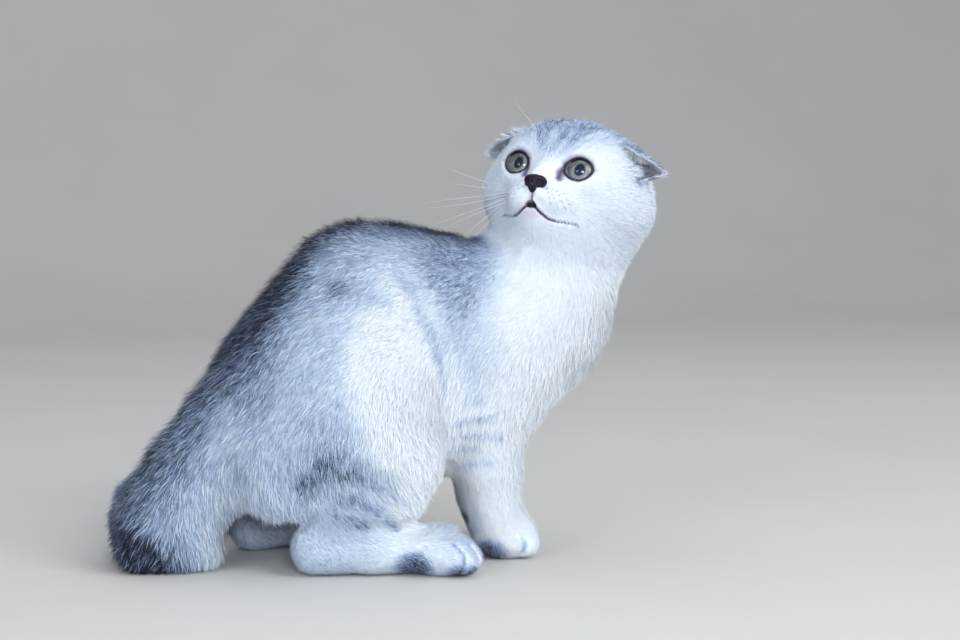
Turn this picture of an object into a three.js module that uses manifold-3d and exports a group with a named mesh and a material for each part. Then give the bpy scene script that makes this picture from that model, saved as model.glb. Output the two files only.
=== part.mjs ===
// A life-size Scottish Fold kitten, still and whole: crouched on all four feet with its back arched and
// its tail curled round to the far side, looking up over its right shoulder.
// Millimetres, +Z up. +X runs along the body from rump to chest and +Y points to the kitten's left.
import * as THREE from "three";
import { mergeVertices } from "three/addons/utils/BufferGeometryUtils.js";
import Module from "manifold-3d";

const wasm = await Module();
wasm.setup();

// Driving dimensions
const BACK_HEIGHT = 178; // floor to the top of the arched back
const HEAD_WIDTH = 90; // over the cheek fur
const HEAD_TURN = -132; // degrees about Z, from looking ahead to looking back over the right shoulder
const HEAD_LIFT = 18; // degrees, nose up
const HEAD_TILT = -7; // degrees, left cheek down
const EYE_RADIUS = 9.4;
const EAR_THICKNESS = 2.2;
const SEAM = 0.3; // the gap that neighbouring pieces keep

const BODY = BACK_HEIGHT / 178;
const SKULL = HEAD_WIDTH / 90;
const DEG = Math.PI / 180;

// Fields: a field gives about how far a point lies outside a form, and is negative inside it.
const egg = ([cx, cy, cz], [rx, ry, rz], lean = 0) => {
  const c = Math.cos(lean * DEG);
  const s = Math.sin(lean * DEG);
  return (x, y, z) => {
    const dx = x - cx;
    const dz = z - cz;
    const ex = (c * dx + s * dz) / rx;
    const ey = (y - cy) / ry;
    const ez = (c * dz - s * dx) / rz;
    const near = Math.hypot(ex, ey, ez);
    return (near * (near - 1)) / Math.max(Math.hypot(ex / rx, ey / ry, ez / rz), 1e-6);
  };
};

// A round form that tapers from one end's radius to the other's.
const limb = ([ax, ay, az], ra, [bx, by, bz], rb) => {
  const [ux, uy, uz] = [bx - ax, by - ay, bz - az];
  const long2 = ux * ux + uy * uy + uz * uz;
  return (x, y, z) => {
    const along = ((x - ax) * ux + (y - ay) * uy + (z - az) * uz) / long2;
    const t = Math.min(1, Math.max(0, along));
    return Math.hypot(x - ax - t * ux, y - ay - t * uy, z - az - t * uz) - ra - t * (rb - ra);
  };
};

const mirrored = (field) => (x, y, z) => field(x, -y, z);
const grown = (field, by) => (x, y, z) => field(x, y, z) - by;
const nearest = (...fields) => (x, y, z) => Math.min(...fields.map((f) => f(x, y, z)));

// Joins forms with a fillet about as wide as reach.
const blend = (reach, ...fields) => (x, y, z) => {
  let d = Infinity;
  for (const f of fields) {
    const e = f(x, y, z);
    const h = Math.max(reach - Math.abs(d - e), 0) / reach;
    d = Math.min(d, e) - (h * h * reach) / 4;
  }
  return d;
};

const chain = (reach, ...stations) =>
  blend(reach, ...stations.slice(1).map(([p, r], i) => limb(stations[i][0], stations[i][1], p, r)));

// The head's own frame: +X to the nose, +Y to its left, +Z to the crown
const headPlace = new THREE.Matrix4()
  .makeRotationZ(HEAD_TURN * DEG)
  .multiply(new THREE.Matrix4().makeRotationY(-HEAD_LIFT * DEG))
  .multiply(new THREE.Matrix4().makeRotationX(HEAD_TILT * DEG))
  .scale(new THREE.Vector3(SKULL, SKULL, SKULL))
  .setPosition(48.6 * BODY, -7.8 * BODY, 194.4 * BODY);
const toHead = headPlace.clone().invert().elements;
const inHead = (field) => (x, y, z) => {
  const m = toHead;
  return SKULL * field(
    m[0] * x + m[4] * y + m[8] * z + m[12],
    m[1] * x + m[5] * y + m[9] * z + m[13],
    m[2] * x + m[6] * y + m[10] * z + m[14],
  );
};
const inBody = (field) => (x, y, z) => BODY * field(x / BODY, y / BODY, z / BODY);
const bothSides = (field) => nearest(field, mirrored(field));

// Head masses, for a head 90 wide
const EYE = { at: [25.9, 17, 2.6], out: 9, up: 5, wide: 7.7, high: 6.6 };
const skull = {
  dome: egg([-4.5, 0, 5], [39, 39, 34]),
  nape: egg([-24, 0, -4], [24, 31, 28]),
  brow: bothSides(egg([17, 13, 14], [14, 16, 12])),
  cheek: bothSides(egg([1, 25.4, -7], [26, 22.2, 20])),
  jaw: egg([8, 0, -21], [26, 25, 15]),
};
const lids = bothSides(egg(EYE.at, [EYE_RADIUS + 0.4, EYE_RADIUS + 1.9, EYE_RADIUS + 1.5]));
const muzzle = {
  bridge: limb([27, 0, 5], 8.5, [39.5, 0, -6.5], 5.2),
  pads: bothSides(egg([33.5, 7.4, -15.4], [9.6, 10.4, 8])),
  lip: egg([33.5, 0, -23.6], [7.4, 8.2, 5.2]),
  chin: egg([26, 0, -26], [12, 12, 8]),
};
const headFlesh = inHead(
  blend(7, blend(8, blend(14, ...Object.values(skull)), blend(3, ...Object.values(muzzle))), lids),
);

// Trunk masses: centre, half sizes and lean in degrees
const trunk = {
  chest: egg([22, -1, 117], [41, 37, 38], -14),
  bib: egg([36, -4, 130], [30, 32, 30]),
  shoulders: egg([-8, 0, 119], [42, 37, 49]),
  ribs: egg([-42, 0, 122], [46, 42, 54]),
  loin: egg([-70, 0, 117], [43, 42, 60]),
  saddle: egg([-91, 0, 104], [36, 41, 42], 35),
  belly: egg([-52, 0, 76], [50, 38, 38]),
  hips: egg([-106, 0, 84], [43, 42, 43]),
  rump: egg([-130, 0, 60], [32, 34, 30]),
};
const throat = limb([32, -3, 134], 36, [46, -7, 166], 34);
const foreShoulder = bothSides(egg([8, 25, 94], [25, 15, 36], -8));
const trunkFlesh = inBody(blend(18, ...Object.values(trunk), throat, foreShoulder));

// One foreleg, on the left side, as a column under the shoulder that ends in a paw with four toes
const toes = (heel, aim, spread, count, reach, radius) => {
  const turn = aim * DEG;
  const [hx, hy, hz] = heel;
  return Array.from({ length: count }, (_, i) => {
    const side = (i - (count - 1) / 2) * spread;
    const ahead = reach - 0.9 * Math.abs(side) * Math.abs(side / (spread * count));
    const tip = [
      hx + ahead * Math.cos(turn) - side * Math.sin(turn),
      hy + ahead * Math.sin(turn) + side * Math.cos(turn),
      hz - 2.5,
    ];
    const root = [hx - side * Math.sin(turn) * 0.8, hy + side * Math.cos(turn) * 0.8, hz];
    return limb(root, radius * 1.05, tip, radius);
  });
};
const foreleg = (forward, side) =>
  blend(
    5,
    chain(
      6,
      [[forward - 4, side, 76], 20],
      [[forward - 1, side, 48], 18.6],
      [[forward + 1, side, 29], 15.6],
      [[forward + 4, side, 14], 14],
    ),
    egg([forward + 10.5, side, 12.6], [15.8, 13.6, 13.4]),
    blend(1.6, ...toes([forward + 12, side, 9.6], 0, 6.6, 4, 9.4, 5.6)),
  );
const FORELEGS = {
  foreleg_right: inBody(foreleg(0, -19.5)),
  foreleg_left: inBody(foreleg(7, 18.5)),
};

// One hind leg: a broad thigh and haunch folded over a foot that lies flat from heel to toe
const hindLeg = (heel, side, splay, knee) => {
  const turn = splay * DEG;
  const at = (d, z, out = 0) => [
    heel + d * Math.cos(turn) - out * Math.sin(turn),
    side + d * Math.sin(turn) + out * Math.cos(turn),
    z,
  ];
  const out = Math.sign(side);
  return blend(
    6,
    blend(
      16,
      egg([heel + 22, out * 33, 81], [45, 23, 42], 24),
      limb([heel + 16, out * 34, 73], 27, [heel + 43, knee, 57], 21),
      egg([-112, out * 30, 55], [24, 20, 27]),
    ),
    limb([heel + 36, knee, 41], 18, at(13, 31), 16),
    chain(6, [at(0, 13.8), 14.4], [at(30, 13), 12], [at(58, 12), 11.6]),
    egg(at(65, 11), [16, 13.5, 11.8]),
    blend(1.6, ...toes(at(67, 9.8), splay, 6.6, 4, 11, 5.6)),
  );
};
const HIND_LEGS = {
  hind_leg_right: inBody(hindLeg(-95, -37, -14, -44)),
  hind_leg_left: inBody(hindLeg(-118, 33, 12, 44)),
};

// The tail: down from the rump, then round on the floor to the far side
const TAIL = [
  [[-137, 0, 71], 23],
  [[-153, -2, 48], 24.5],
  [[-164, 0, 27], 25.5],
  [[-168, 24, 23], 24],
  [[-167, 50, 21], 21],
  [[-155, 76, 18.5], 18.5],
  [[-133, 94, 15.5], 15.5],
  [[-107, 103, 12.5], 12],
];
const TAIL_BREAK = { at: [-169, 44, 21], along: [0.05, 1, -0.05] };
const tailHeel = egg([-174, 1, 12], [18.5, 22, 13]);
const tailFlank = egg([-153, -6, 9.5], [14, 15, 9.5]);
const tailFlesh = inBody(blend(10, chain(10, ...TAIL), tailHeel, tailFlank));

// The whole kitten: limbs run into the trunk but not into one another.
const limbsOf = { ...HIND_LEGS, ...FORELEGS, tail: tailFlesh };
const FILLET = 9;
const core = blend(13, trunkFlesh, headFlesh);
const flesh = (x, y, z) => {
  const trunkDepth = core(x, y, z);
  let d = trunkDepth;
  for (const limbField of Object.values(limbsOf)) {
    const e = limbField(x, y, z);
    const h = Math.max(FILLET - Math.abs(trunkDepth - e), 0) / FILLET;
    d = Math.min(d, Math.min(trunkDepth, e) - (h * h * FILLET) / 4);
  }
  return d;
};

// Grid lines along one axis: fine between the two ends of a zone, coarse elsewhere
const lines = (from, to, coarse, zone = [0, 0], fine = coarse) => {
  const stops = [from];
  while (stops.at(-1) < to) {
    const at = stops.at(-1);
    stops.push(at + (at >= zone[0] && at < zone[1] ? fine : coarse));
  }
  return stops;
};

const SLOPE_STEP = 0.05; // distance over which a field's slope is taken
const slope = (field, x, y, z) => [
  (field(x + SLOPE_STEP, y, z) - field(x - SLOPE_STEP, y, z)) / (2 * SLOPE_STEP),
  (field(x, y + SLOPE_STEP, z) - field(x, y - SLOPE_STEP, z)) / (2 * SLOPE_STEP),
  (field(x, y, z + SLOPE_STEP) - field(x, y, z - SLOPE_STEP)) / (2 * SLOPE_STEP),
];

// Moves a point along a field's slope until it lies on the zero level.
const SETTLING_STEPS = 3;
const LEAST_SLOPE = 0.5; // keeps a step short where the field is nearly level
const settled = (field, point) => {
  let [x, y, z] = point;
  for (let i = 0; i < SETTLING_STEPS; i++) {
    const d = field(x, y, z);
    const g = slope(field, x, y, z);
    const steep2 = Math.max(g[0] ** 2 + g[1] ** 2 + g[2] ** 2, LEAST_SLOPE ** 2);
    x -= (d * g[0]) / steep2;
    y -= (d * g[1]) / steep2;
    z -= (d * g[2]) / steep2;
  }
  return [x, y, z];
};

const CORNERS = [0, 1, 2, 3, 4, 5, 6, 7].map((i) => [i & 1, (i >> 1) & 1, i >> 2]);
const EDGES = CORNERS.flatMap((a, i) =>
  CORNERS.flatMap((b, j) => (j > i && a.filter((v, k) => v !== b[k]).length === 1 ? [[i, j]] : [])),
);

const CELL_MARGIN = 0.06; // share of a cell's width that its point keeps from the cell's sides
const JUST_OUTSIDE = 1e-3; // the value given to a grid point that is left out of the form
const keptIn = (c, low, size) =>
  Math.min(low + (1 - CELL_MARGIN) * size, Math.max(low + CELL_MARGIN * size, c));

// A closed net of faces on the zero level of a field, with one point in each cell that the level crosses
function net(field, grid) {
  const n = grid.map((stops) => stops.length);
  const at = (i, j, k) => (k * n[1] + j) * n[0] + i;
  const values = new Float64Array(n[0] * n[1] * n[2]);
  for (let k = 0; k < n[2]; k++)
    for (let j = 0; j < n[1]; j++)
      for (let i = 0; i < n[0]; i++) {
        const rim = [i, j, k].some((v, axis) => v === 0 || v === n[axis] - 1);
        const d = field(grid[0][i], grid[1][j], grid[2][k]);
        values[at(i, j, k)] = rim ? Math.max(d, 1) : d;
      }
  // A side of a cell that the level crosses twice would give an edge that four faces share, so the
  // shallower of its two inside corners is left out.
  const strides = [1, n[0], n[0] * n[1]];
  const SIDES = [[0, 1], [0, 2], [1, 2]].map((axes) => axes.map((axis) => strides[axis]));
  for (let clear = false; !clear; ) {
    clear = true;
    for (const [u, v] of SIDES)
      for (let a = 0; a + u + v < values.length; a++) {
        const side = [a, a + u, a + u + v, a + v];
        const inside = side.map((spot) => values[spot] < 0);
        if (inside[0] !== inside[2] || inside[1] !== inside[3] || inside[0] === inside[1]) continue;
        const [p, q] = side.filter((spot, index) => inside[index]);
        values[values[p] > values[q] ? p : q] = JUST_OUTSIDE;
        clear = false;
      }
  }
  const points = [];
  const corner = new Map();
  for (let k = 0; k < n[2] - 1; k++)
    for (let j = 0; j < n[1] - 1; j++)
      for (let i = 0; i < n[0] - 1; i++) {
        const v = CORNERS.map(([a, b, c]) => values[at(i + a, j + b, k + c)]);
        const sum = [0, 0, 0];
        let crossings = 0;
        for (const [a, b] of EDGES) {
          if (v[a] < 0 === v[b] < 0) continue;
          const t = v[a] / (v[a] - v[b]);
          for (let m = 0; m < 3; m++) sum[m] += CORNERS[a][m] + t * (CORNERS[b][m] - CORNERS[a][m]);
          crossings++;
        }
        if (!crossings) continue;
        const low = [i, j, k].map((s, m) => grid[m][s]);
        const size = [i, j, k].map((s, m) => grid[m][s + 1] - grid[m][s]);
        const p = settled(field, low.map((c, m) => c + (sum[m] / crossings) * size[m]));
        corner.set(at(i, j, k), points.length);
        points.push(p.map((c, m) => keptIn(c, low[m], size[m])));
      }
  const faces = [];
  const apart = (a, b) => Math.hypot(...points[a].map((c, m) => c - points[b][m]));
  const quad = (a, b, c, d, turned) => {
    const [p, q, r, s] = turned ? [a, d, c, b] : [a, b, c, d];
    if (apart(p, r) <= apart(q, s)) faces.push(p, q, r, p, r, s);
    else faces.push(q, r, s, q, s, p);
  };
  for (let k = 0; k < n[2] - 1; k++)
    for (let j = 0; j < n[1] - 1; j++)
      for (let i = 0; i < n[0] - 1; i++) {
        const inside = values[at(i, j, k)] < 0;
        const cellAt = (a, b, c) => corner.get(at(i + a, j + b, k + c));
        if (inside !== values[at(i + 1, j, k)] < 0)
          quad(cellAt(0, -1, -1), cellAt(0, 0, -1), cellAt(0, 0, 0), cellAt(0, -1, 0), !inside);
        if (inside !== values[at(i, j + 1, k)] < 0)
          quad(cellAt(-1, 0, -1), cellAt(-1, 0, 0), cellAt(0, 0, 0), cellAt(0, 0, -1), !inside);
        if (inside !== values[at(i, j, k + 1)] < 0)
          quad(cellAt(-1, -1, 0), cellAt(0, -1, 0), cellAt(0, 0, 0), cellAt(-1, 0, 0), !inside);
      }
  return { points, faces };
}

// The same net moved out along the field's slope
const swollen = ({ points, faces }, field, by) => ({
  points: points.map((p) => {
    const g = slope(field, ...p);
    const steep = Math.hypot(...g);
    return p.map((c, m) => c + (by * g[m]) / steep);
  }),
  faces,
});

// Solids and their cuts
function solid({ points, faces }) {
  const vertProperties = new Float32Array(points.flat());
  return new wasm.Manifold(new wasm.Mesh({ numProp: 3, vertProperties, triVerts: new Uint32Array(faces) }));
}

function solidOf(geometry, place) {
  const bare = geometry.clone();
  for (const name of Object.keys(bare.attributes)) if (name !== "position") bare.deleteAttribute(name);
  if (place) bare.applyMatrix4(place);
  const merged = mergeVertices(bare, 1e-4);
  return new wasm.Manifold(
    new wasm.Mesh({
      numProp: 3,
      vertProperties: merged.attributes.position.array,
      triVerts: new Uint32Array(merged.index.array),
    }),
  );
}

const without = (shape, others) => others.reduce((left, other) => left.subtract(other), shape);
const largest = (shape) => shape.decompose().sort((a, b) => b.volume() - a.volume())[0];

// All that lies on the side of a plane that its normal points to
const FAR = 420;
function sideOf(point, normal, shift = 0) {
  const n = new THREE.Vector3(...normal).normalize();
  const centre = new THREE.Vector3(...point).addScaledVector(n, FAR / 2 + shift);
  const place = new THREE.Matrix4().compose(
    centre,
    new THREE.Quaternion().setFromUnitVectors(new THREE.Vector3(0, 0, 1), n),
    new THREE.Vector3(1, 1, 1),
  );
  return solidOf(new THREE.BoxGeometry(FAR, FAR, FAR), place);
}
const floorUp = sideOf([0, 0, 0], [0, 0, 1]);

// Where the pieces part
const THROAT_CUT = { at: [44, -10, 162].map((v) => v * BODY), out: [0.26, -0.17, 0.95] };
const WITHERS_CUT = { at: [35, 0, 139].map((v) => v * BODY), out: [0.5, -0.1, 0.86] };
const GRIDS = {
  torso: [lines(-186, 96, 12.4), lines(-66, 68, 12.4), lines(14, 196, 12.4)],
  neck: [lines(-34, 120, 10), lines(-62, 56, 10), lines(90, 204, 10)],
  foreleg: [lines(-36, 52, 9, [4, 40], 4.5), lines(-48, 48, 4.8), lines(-6, 110, 10, [-6, 20], 4.4)],
  hind_leg: [lines(-164, 16, 10, [-38, 12], 4.6), lines(-90, 90, 5.6), lines(-6, 142, 10.5, [-6, 22], 4.6)],
  tail: [lines(-208, -80, 9.5), lines(-42, 132, 9.5), lines(-6, 114, 9.5)],
};
const half = (grid, side) => [grid[0], grid[1].filter((y) => y * side > -8), grid[2]];

const LIMB_SKIRT = 4; // how far a limb's piece reaches past its own masses into the fillet round it
const LIMB_CUTTER = 10; // cell size of the surface that parts a limb from the trunk
const MIDLINE = -0.5; // where the left and right limbs part, in Y
const limbs = {};
const sockets = {};
for (const [name, own] of Object.entries(limbsOf)) {
  const [kind, side] = name.split(/_(?=left|right)/);
  const sign = side === "left" ? 1 : -1;
  const grid = side ? half(GRIDS[kind], sign) : GRIDS[kind];
  const cutterGrid = grid.map((stops) => lines(stops[0], stops.at(-1), LIMB_CUTTER));
  const cutter = net(grown(own, LIMB_SKIRT), cutterGrid);
  const others = Object.keys(sockets).filter((other) => !other.startsWith(kind));
  const piece = solid(net(flesh, grid)).intersect(solid(cutter));
  const onSide = side ? piece.intersect(sideOf([0, MIDLINE, 0], [0, sign, 0], SEAM / 2)) : piece;
  limbs[name] = without(onSide, others.map((other) => sockets[other]));
  sockets[name] = solid(swollen(cutter, own, SEAM));
}
const withersBack = sideOf(WITHERS_CUT.at, WITHERS_CUT.out, -SEAM);
const torso = without(solid(net(flesh, GRIDS.torso)), [...Object.values(sockets), withersBack]);
const neck = solid(net(flesh, GRIDS.neck))
  .intersect(sideOf(WITHERS_CUT.at, WITHERS_CUT.out))
  .subtract(sideOf(THROAT_CUT.at, THROAT_CUT.out, -SEAM));

// The head's pieces are netted in the head's own frame.
const spotInHead = (p) => new THREE.Vector3(...p).applyMatrix4(headPlace);
const fleshFromHead = (x, y, z) => {
  const p = spotInHead([x, y, z]);
  return flesh(p.x, p.y, p.z) / SKULL;
};
const placed = ({ points, faces }) => solid({ points: points.map((p) => spotInHead(p).toArray()), faces });
const rightHalf = lines(-56, -2, 9, [-30, -2], 4);
const HEAD_GRID = [
  lines(-60, 56, 9, [12, 56], 4),
  [...rightHalf, ...rightHalf.toReversed().map((y) => -y)],
  lines(-62, 48, 9, [-35, 16], 4),
];
const headNet = net(fleshFromHead, HEAD_GRID);

// Nose leather with its two nostrils
const NOSE = { at: [42.4, 0, -8.8], wide: 6.6, high: 3.9, deep: 3.6 };
const noseField = blend(
  2,
  egg(NOSE.at, [NOSE.deep, NOSE.wide, NOSE.high]),
  egg([NOSE.at[0] - 0.4, 0, NOSE.at[2] - 3.6], [NOSE.deep * 0.8, 2.4, 2.8]),
);
const nostrils = bothSides(egg([NOSE.at[0] + 2.9, 3.6, NOSE.at[2] - 0.4], [2, 1.9, 1.2], -20));
const leather = (x, y, z) => Math.max(noseField(x, y, z), -nostrils(x, y, z));
const noseGrid = NOSE.at.map((c, axis) => lines(c - [7, 9.6, 9][axis], c + [7, 9.6, 9][axis], 1.6));
const nose = placed(net(leather, noseGrid));
const noseSocket = placed(swollen(net(noseField, noseGrid), noseField, SEAM));

// Eyes, each a whole ball behind an oval opening in its lids
const ball = (radius, place) => solidOf(new THREE.SphereGeometry(radius, 14, 10), place);
const eyePlace = (side) =>
  headPlace
    .clone()
    .multiply(new THREE.Matrix4().makeTranslation(EYE.at[0], side * EYE.at[1], EYE.at[2]))
    .multiply(new THREE.Matrix4().makeRotationZ(side * EYE.out * DEG))
    .multiply(new THREE.Matrix4().makeRotationY(-EYE.up * DEG))
    .multiply(new THREE.Matrix4().makeRotationZ(-Math.PI / 2));

// The opening is a flared plug along the eye's own axis, which is +Y in its place.
const lidOpening = (side) => {
  const plug = new THREE.CylinderGeometry(1.22, 0.92, 10, 20);
  plug.translate(0, 5 + EYE_RADIUS * 0.55, 0);
  plug.scale(EYE.wide, 1, EYE.high);
  return solidOf(plug, eyePlace(side));
};

// The line of the mouth, laid on the surface of the muzzle: down from the nose, then out to each corner
const MUZZLE_CORE = [16, 0, -18];
const onSurface = (p) => {
  const from = spotInHead(MUZZLE_CORE);
  const to = spotInHead(p);
  let [a, b] = [0, 1.6];
  for (let i = 0; i < 24; i++) {
    const t = (a + b) / 2;
    const q = from.clone().lerp(to, t);
    if (flesh(q.x, q.y, q.z) < 0) a = t;
    else b = t;
  }
  return from.lerp(to, a);
};
const groove = (points, radius) => {
  const path = new THREE.CatmullRomCurve3(points.map(onSurface));
  const section = new THREE.Shape().absarc(0, 0, radius, 0, 2 * Math.PI);
  const sweep = { steps: 12, curveSegments: 5, extrudePath: path, bevelEnabled: false };
  return solidOf(new THREE.ExtrudeGeometry(section, sweep));
};
const MOUTH_RADIUS = 0.9;
const philtrum = [[43, 0, -13], [43, 0, -16], [42, 0, -19.5]];
const mouthSide = (side) => [
  [41.5, 0, -19],
  [39.5, 3.6 * side, -22],
  [37, 7 * side, -24.6],
  [33, 11.6 * side, -25.6],
  [26, 19 * side, -25],
];
const GAP = { at: [40.5, 0, -20.8], half: [6, 3.6, 1.7] };
const mouthGap = solidOf(
  new THREE.SphereGeometry(1, 12, 8).scale(...GAP.half).translate(...GAP.at),
  headPlace,
);

const headWhole = placed(headNet);
const headAndGap = placed(swollen(headNet, fleshFromHead, SEAM));
let head = headWhole.intersect(sideOf(THROAT_CUT.at, THROAT_CUT.out));
for (const side of [1, -1])
  head = head.subtract(ball(EYE_RADIUS + SEAM, eyePlace(side))).subtract(lidOpening(side));
head = head
  .subtract(noseSocket)
  .subtract(groove(philtrum, MOUTH_RADIUS))
  .subtract(groove(mouthSide(1), MOUTH_RADIUS))
  .subtract(groove(mouthSide(-1), MOUTH_RADIUS))
  .subtract(mouthGap);

// An ear: a hood that rises from the side of the skull and folds over, forward and out, to its tip.
// Each row of three points runs from the front of the ear round its back to its lower end.
const EAR = {
  base: [[13, 27, 26], [-15, 33, 14], [11, 37, 4]],
  fold: [[15, 33, 24], [-14, 50, 26], [8, 44, 8]],
  edge: [[15, 40, 20], [-1, 60.5, 15], [7, 46, 11]],
};
const EAR_STEPS = [10, 7];
const EAR_RIM = 0.55; // thickness at the rim as a share of the middle's
const EAR_DIFFERENCE = 1e-3; // step in the ear's own measure over which its slope is taken
function ear(side) {
  const rows = Object.values(EAR).map(
    (row) => new THREE.QuadraticBezierCurve3(...row.map(([x, y, z]) => spotInHead([x, side * y, z]))),
  );
  const surface = (u, v) =>
    new THREE.QuadraticBezierCurve3(...rows.map((row) => row.getPoint(u))).getPoint(v);
  const [nu, nv] = EAR_STEPS;
  const points = [];
  const e = EAR_DIFFERENCE;
  for (const face of [1, -1])
    for (let j = 0; j <= nv; j++)
      for (let i = 0; i <= nu; i++) {
        const [u, v] = [i / nu, j / nv];
        const across = surface(Math.min(1, u + e), v).sub(surface(Math.max(0, u - e), v));
        const along = surface(u, Math.min(1, v + e)).sub(surface(u, Math.max(0, v - e)));
        const thick = EAR_THICKNESS * (1 - (1 - EAR_RIM) * Math.max(Math.abs(2 * u - 1) ** 4, v ** 4));
        const normal = across.cross(along).normalize();
        points.push(surface(u, v).addScaledVector(normal, (face * side * thick) / 2).toArray());
      }
  const wide = nu + 1;
  const layer = wide * (nv + 1);
  const at = (i, j, face) => face * layer + j * wide + i;
  const faces = [];
  const quad = (a, b, c, d) => faces.push(a, b, c, a, c, d);
  for (let j = 0; j < nv; j++)
    for (let i = 0; i < nu; i++) {
      quad(at(i, j, 0), at(i + 1, j, 0), at(i + 1, j + 1, 0), at(i, j + 1, 0));
      quad(at(i, j, 1), at(i, j + 1, 1), at(i + 1, j + 1, 1), at(i + 1, j, 1));
    }
  for (let i = 0; i < nu; i++) {
    quad(at(i, 0, 1), at(i + 1, 0, 1), at(i + 1, 0, 0), at(i, 0, 0));
    quad(at(i, nv, 0), at(i + 1, nv, 0), at(i + 1, nv, 1), at(i, nv, 1));
  }
  for (let j = 0; j < nv; j++) {
    quad(at(0, j, 0), at(0, j + 1, 0), at(0, j + 1, 1), at(0, j, 1));
    quad(at(nu, j, 1), at(nu, j + 1, 1), at(nu, j + 1, 0), at(nu, j, 0));
  }
  if (side < 0) faces.reverse();
  return largest(solid({ points, faces }).subtract(headAndGap));
}

// Materials
const finish = (color, roughness) => new THREE.MeshStandardMaterial({ color, roughness, metalness: 0 });
const FINISH = {
  coat: finish(0xb9c1d2, 0.9),
  pale: finish(0xdde4ee, 0.9),
  ear: finish(0xb7a9b8, 0.8),
  eye: finish(0x8b8b7c, 0.1),
  nose: finish(0x3c2530, 0.5),
};

// The finished kitten: one mesh for each part, with the floor under its feet and the box centred on the axes
const tailSide = TAIL_BREAK.at.map((v) => v * BODY);
const pieces = {
  torso: [torso, FINISH.coat],
  neck: [neck, FINISH.pale],
  head: [head, FINISH.pale],
  ear_left: [ear(1), FINISH.ear],
  ear_right: [ear(-1), FINISH.ear],
  eye_left: [ball(EYE_RADIUS, eyePlace(1)), FINISH.eye],
  eye_right: [ball(EYE_RADIUS, eyePlace(-1)), FINISH.eye],
  nose: [nose, FINISH.nose],
  foreleg_left: [limbs.foreleg_left, FINISH.pale],
  foreleg_right: [limbs.foreleg_right, FINISH.pale],
  hind_leg_left: [limbs.hind_leg_left, FINISH.coat],
  hind_leg_right: [limbs.hind_leg_right, FINISH.coat],
  tail_root: [limbs.tail.subtract(sideOf(tailSide, TAIL_BREAK.along, -SEAM)), FINISH.coat],
  tail_end: [limbs.tail.intersect(sideOf(tailSide, TAIL_BREAK.along)), FINISH.coat],
};

const kitten = new THREE.Group();
for (const [name, [shape, material]] of Object.entries(pieces)) {
  const mesh = largest(shape.intersect(floorUp)).getMesh();
  const geometry = new THREE.BufferGeometry()
    .setAttribute("position", new THREE.BufferAttribute(mesh.vertProperties, 3))
    .setIndex(new THREE.BufferAttribute(mesh.triVerts, 1));
  const part = new THREE.Mesh(geometry, material);
  part.name = name;
  kitten.add(part);
}
const extent = new THREE.Box3().setFromObject(kitten);
const middle = extent.getCenter(new THREE.Vector3());
kitten.position.set(-middle.x, -middle.y, 0);

export default kitten;
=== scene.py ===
# A life-size Scottish Fold kitten: one skin over the whole body, a coat laid on it tuft by tuft, and eyes,
# nose leather, lips, folded ears and whiskers. Lengths are millimetres until a mesh is made.
import math

import bmesh
import bpy
import numpy as np
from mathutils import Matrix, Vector
from mathutils.bvhtree import BVHTree
from mathutils.kdtree import KDTree


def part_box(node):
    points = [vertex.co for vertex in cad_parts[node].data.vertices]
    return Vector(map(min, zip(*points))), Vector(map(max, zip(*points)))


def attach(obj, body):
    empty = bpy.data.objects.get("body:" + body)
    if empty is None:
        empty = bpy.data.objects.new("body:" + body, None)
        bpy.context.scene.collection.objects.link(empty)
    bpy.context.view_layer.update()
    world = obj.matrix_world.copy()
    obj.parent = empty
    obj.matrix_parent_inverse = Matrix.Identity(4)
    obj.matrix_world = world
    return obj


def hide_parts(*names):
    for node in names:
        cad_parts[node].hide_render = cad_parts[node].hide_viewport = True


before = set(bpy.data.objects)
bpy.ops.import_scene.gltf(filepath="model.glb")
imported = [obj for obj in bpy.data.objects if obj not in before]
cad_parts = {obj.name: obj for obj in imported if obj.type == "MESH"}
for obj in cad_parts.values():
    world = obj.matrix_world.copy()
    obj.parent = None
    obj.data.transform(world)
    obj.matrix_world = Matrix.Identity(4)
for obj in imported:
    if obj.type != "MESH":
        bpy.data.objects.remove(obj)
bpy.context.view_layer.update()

MM = 0.001
SEED = 41

# The kitten's own frame: +X from rump to chest, +Y to its left, +Z up from the floor
HEAD_TURN = -132  # degrees about +Z, from looking ahead to looking back over the right shoulder
HEAD_LIFT = 18
HEAD_TILT = -7
HEAD_AT = np.array([48.6, -7.8, 194.4])

# In the head's own frame +X runs to the nose, +Y to the kitten's left and +Z to the crown
EYE_AT = np.array([25.9, 17.0, 2.6])
EYE_OUT = 9
EYE_UP = 5
EYE_RADIUS = 9.4
NOSE_AT = np.array([42.4, 0.0, -8.8])


def turned(axis, degrees):
    """The matrix of a turn about one axis."""
    c, s = math.cos(math.radians(degrees)), math.sin(math.radians(degrees))
    rows = {
        "x": [[1, 0, 0], [0, c, -s], [0, s, c]],
        "y": [[c, 0, s], [0, 1, 0], [-s, 0, c]],
        "z": [[c, -s, 0], [s, c, 0], [0, 0, 1]],
    }
    return np.array(rows[axis])


head_axes = turned("z", HEAD_TURN) @ turned("y", -HEAD_LIFT) @ turned("x", HEAD_TILT)


def middle_of(node):
    low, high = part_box(node)
    return np.array((low + high) / 2) / MM


eyes_middle = (middle_of("eye_left") + middle_of("eye_right")) / 2
home = eyes_middle - head_axes @ (EYE_AT * [1, 0, 1]) - HEAD_AT  # the kitten's frame in the row's


def in_head(points):
    return (points - HEAD_AT) @ head_axes


def from_head(points):
    return np.asarray(points, float) @ head_axes.T + HEAD_AT


def spun(ahead, left, degrees):
    """Measures along two axes after these are turned from the first towards the second."""
    c, s = math.cos(math.radians(degrees)), math.sin(math.radians(degrees))
    return c * ahead + s * left, c * left - s * ahead


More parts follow.
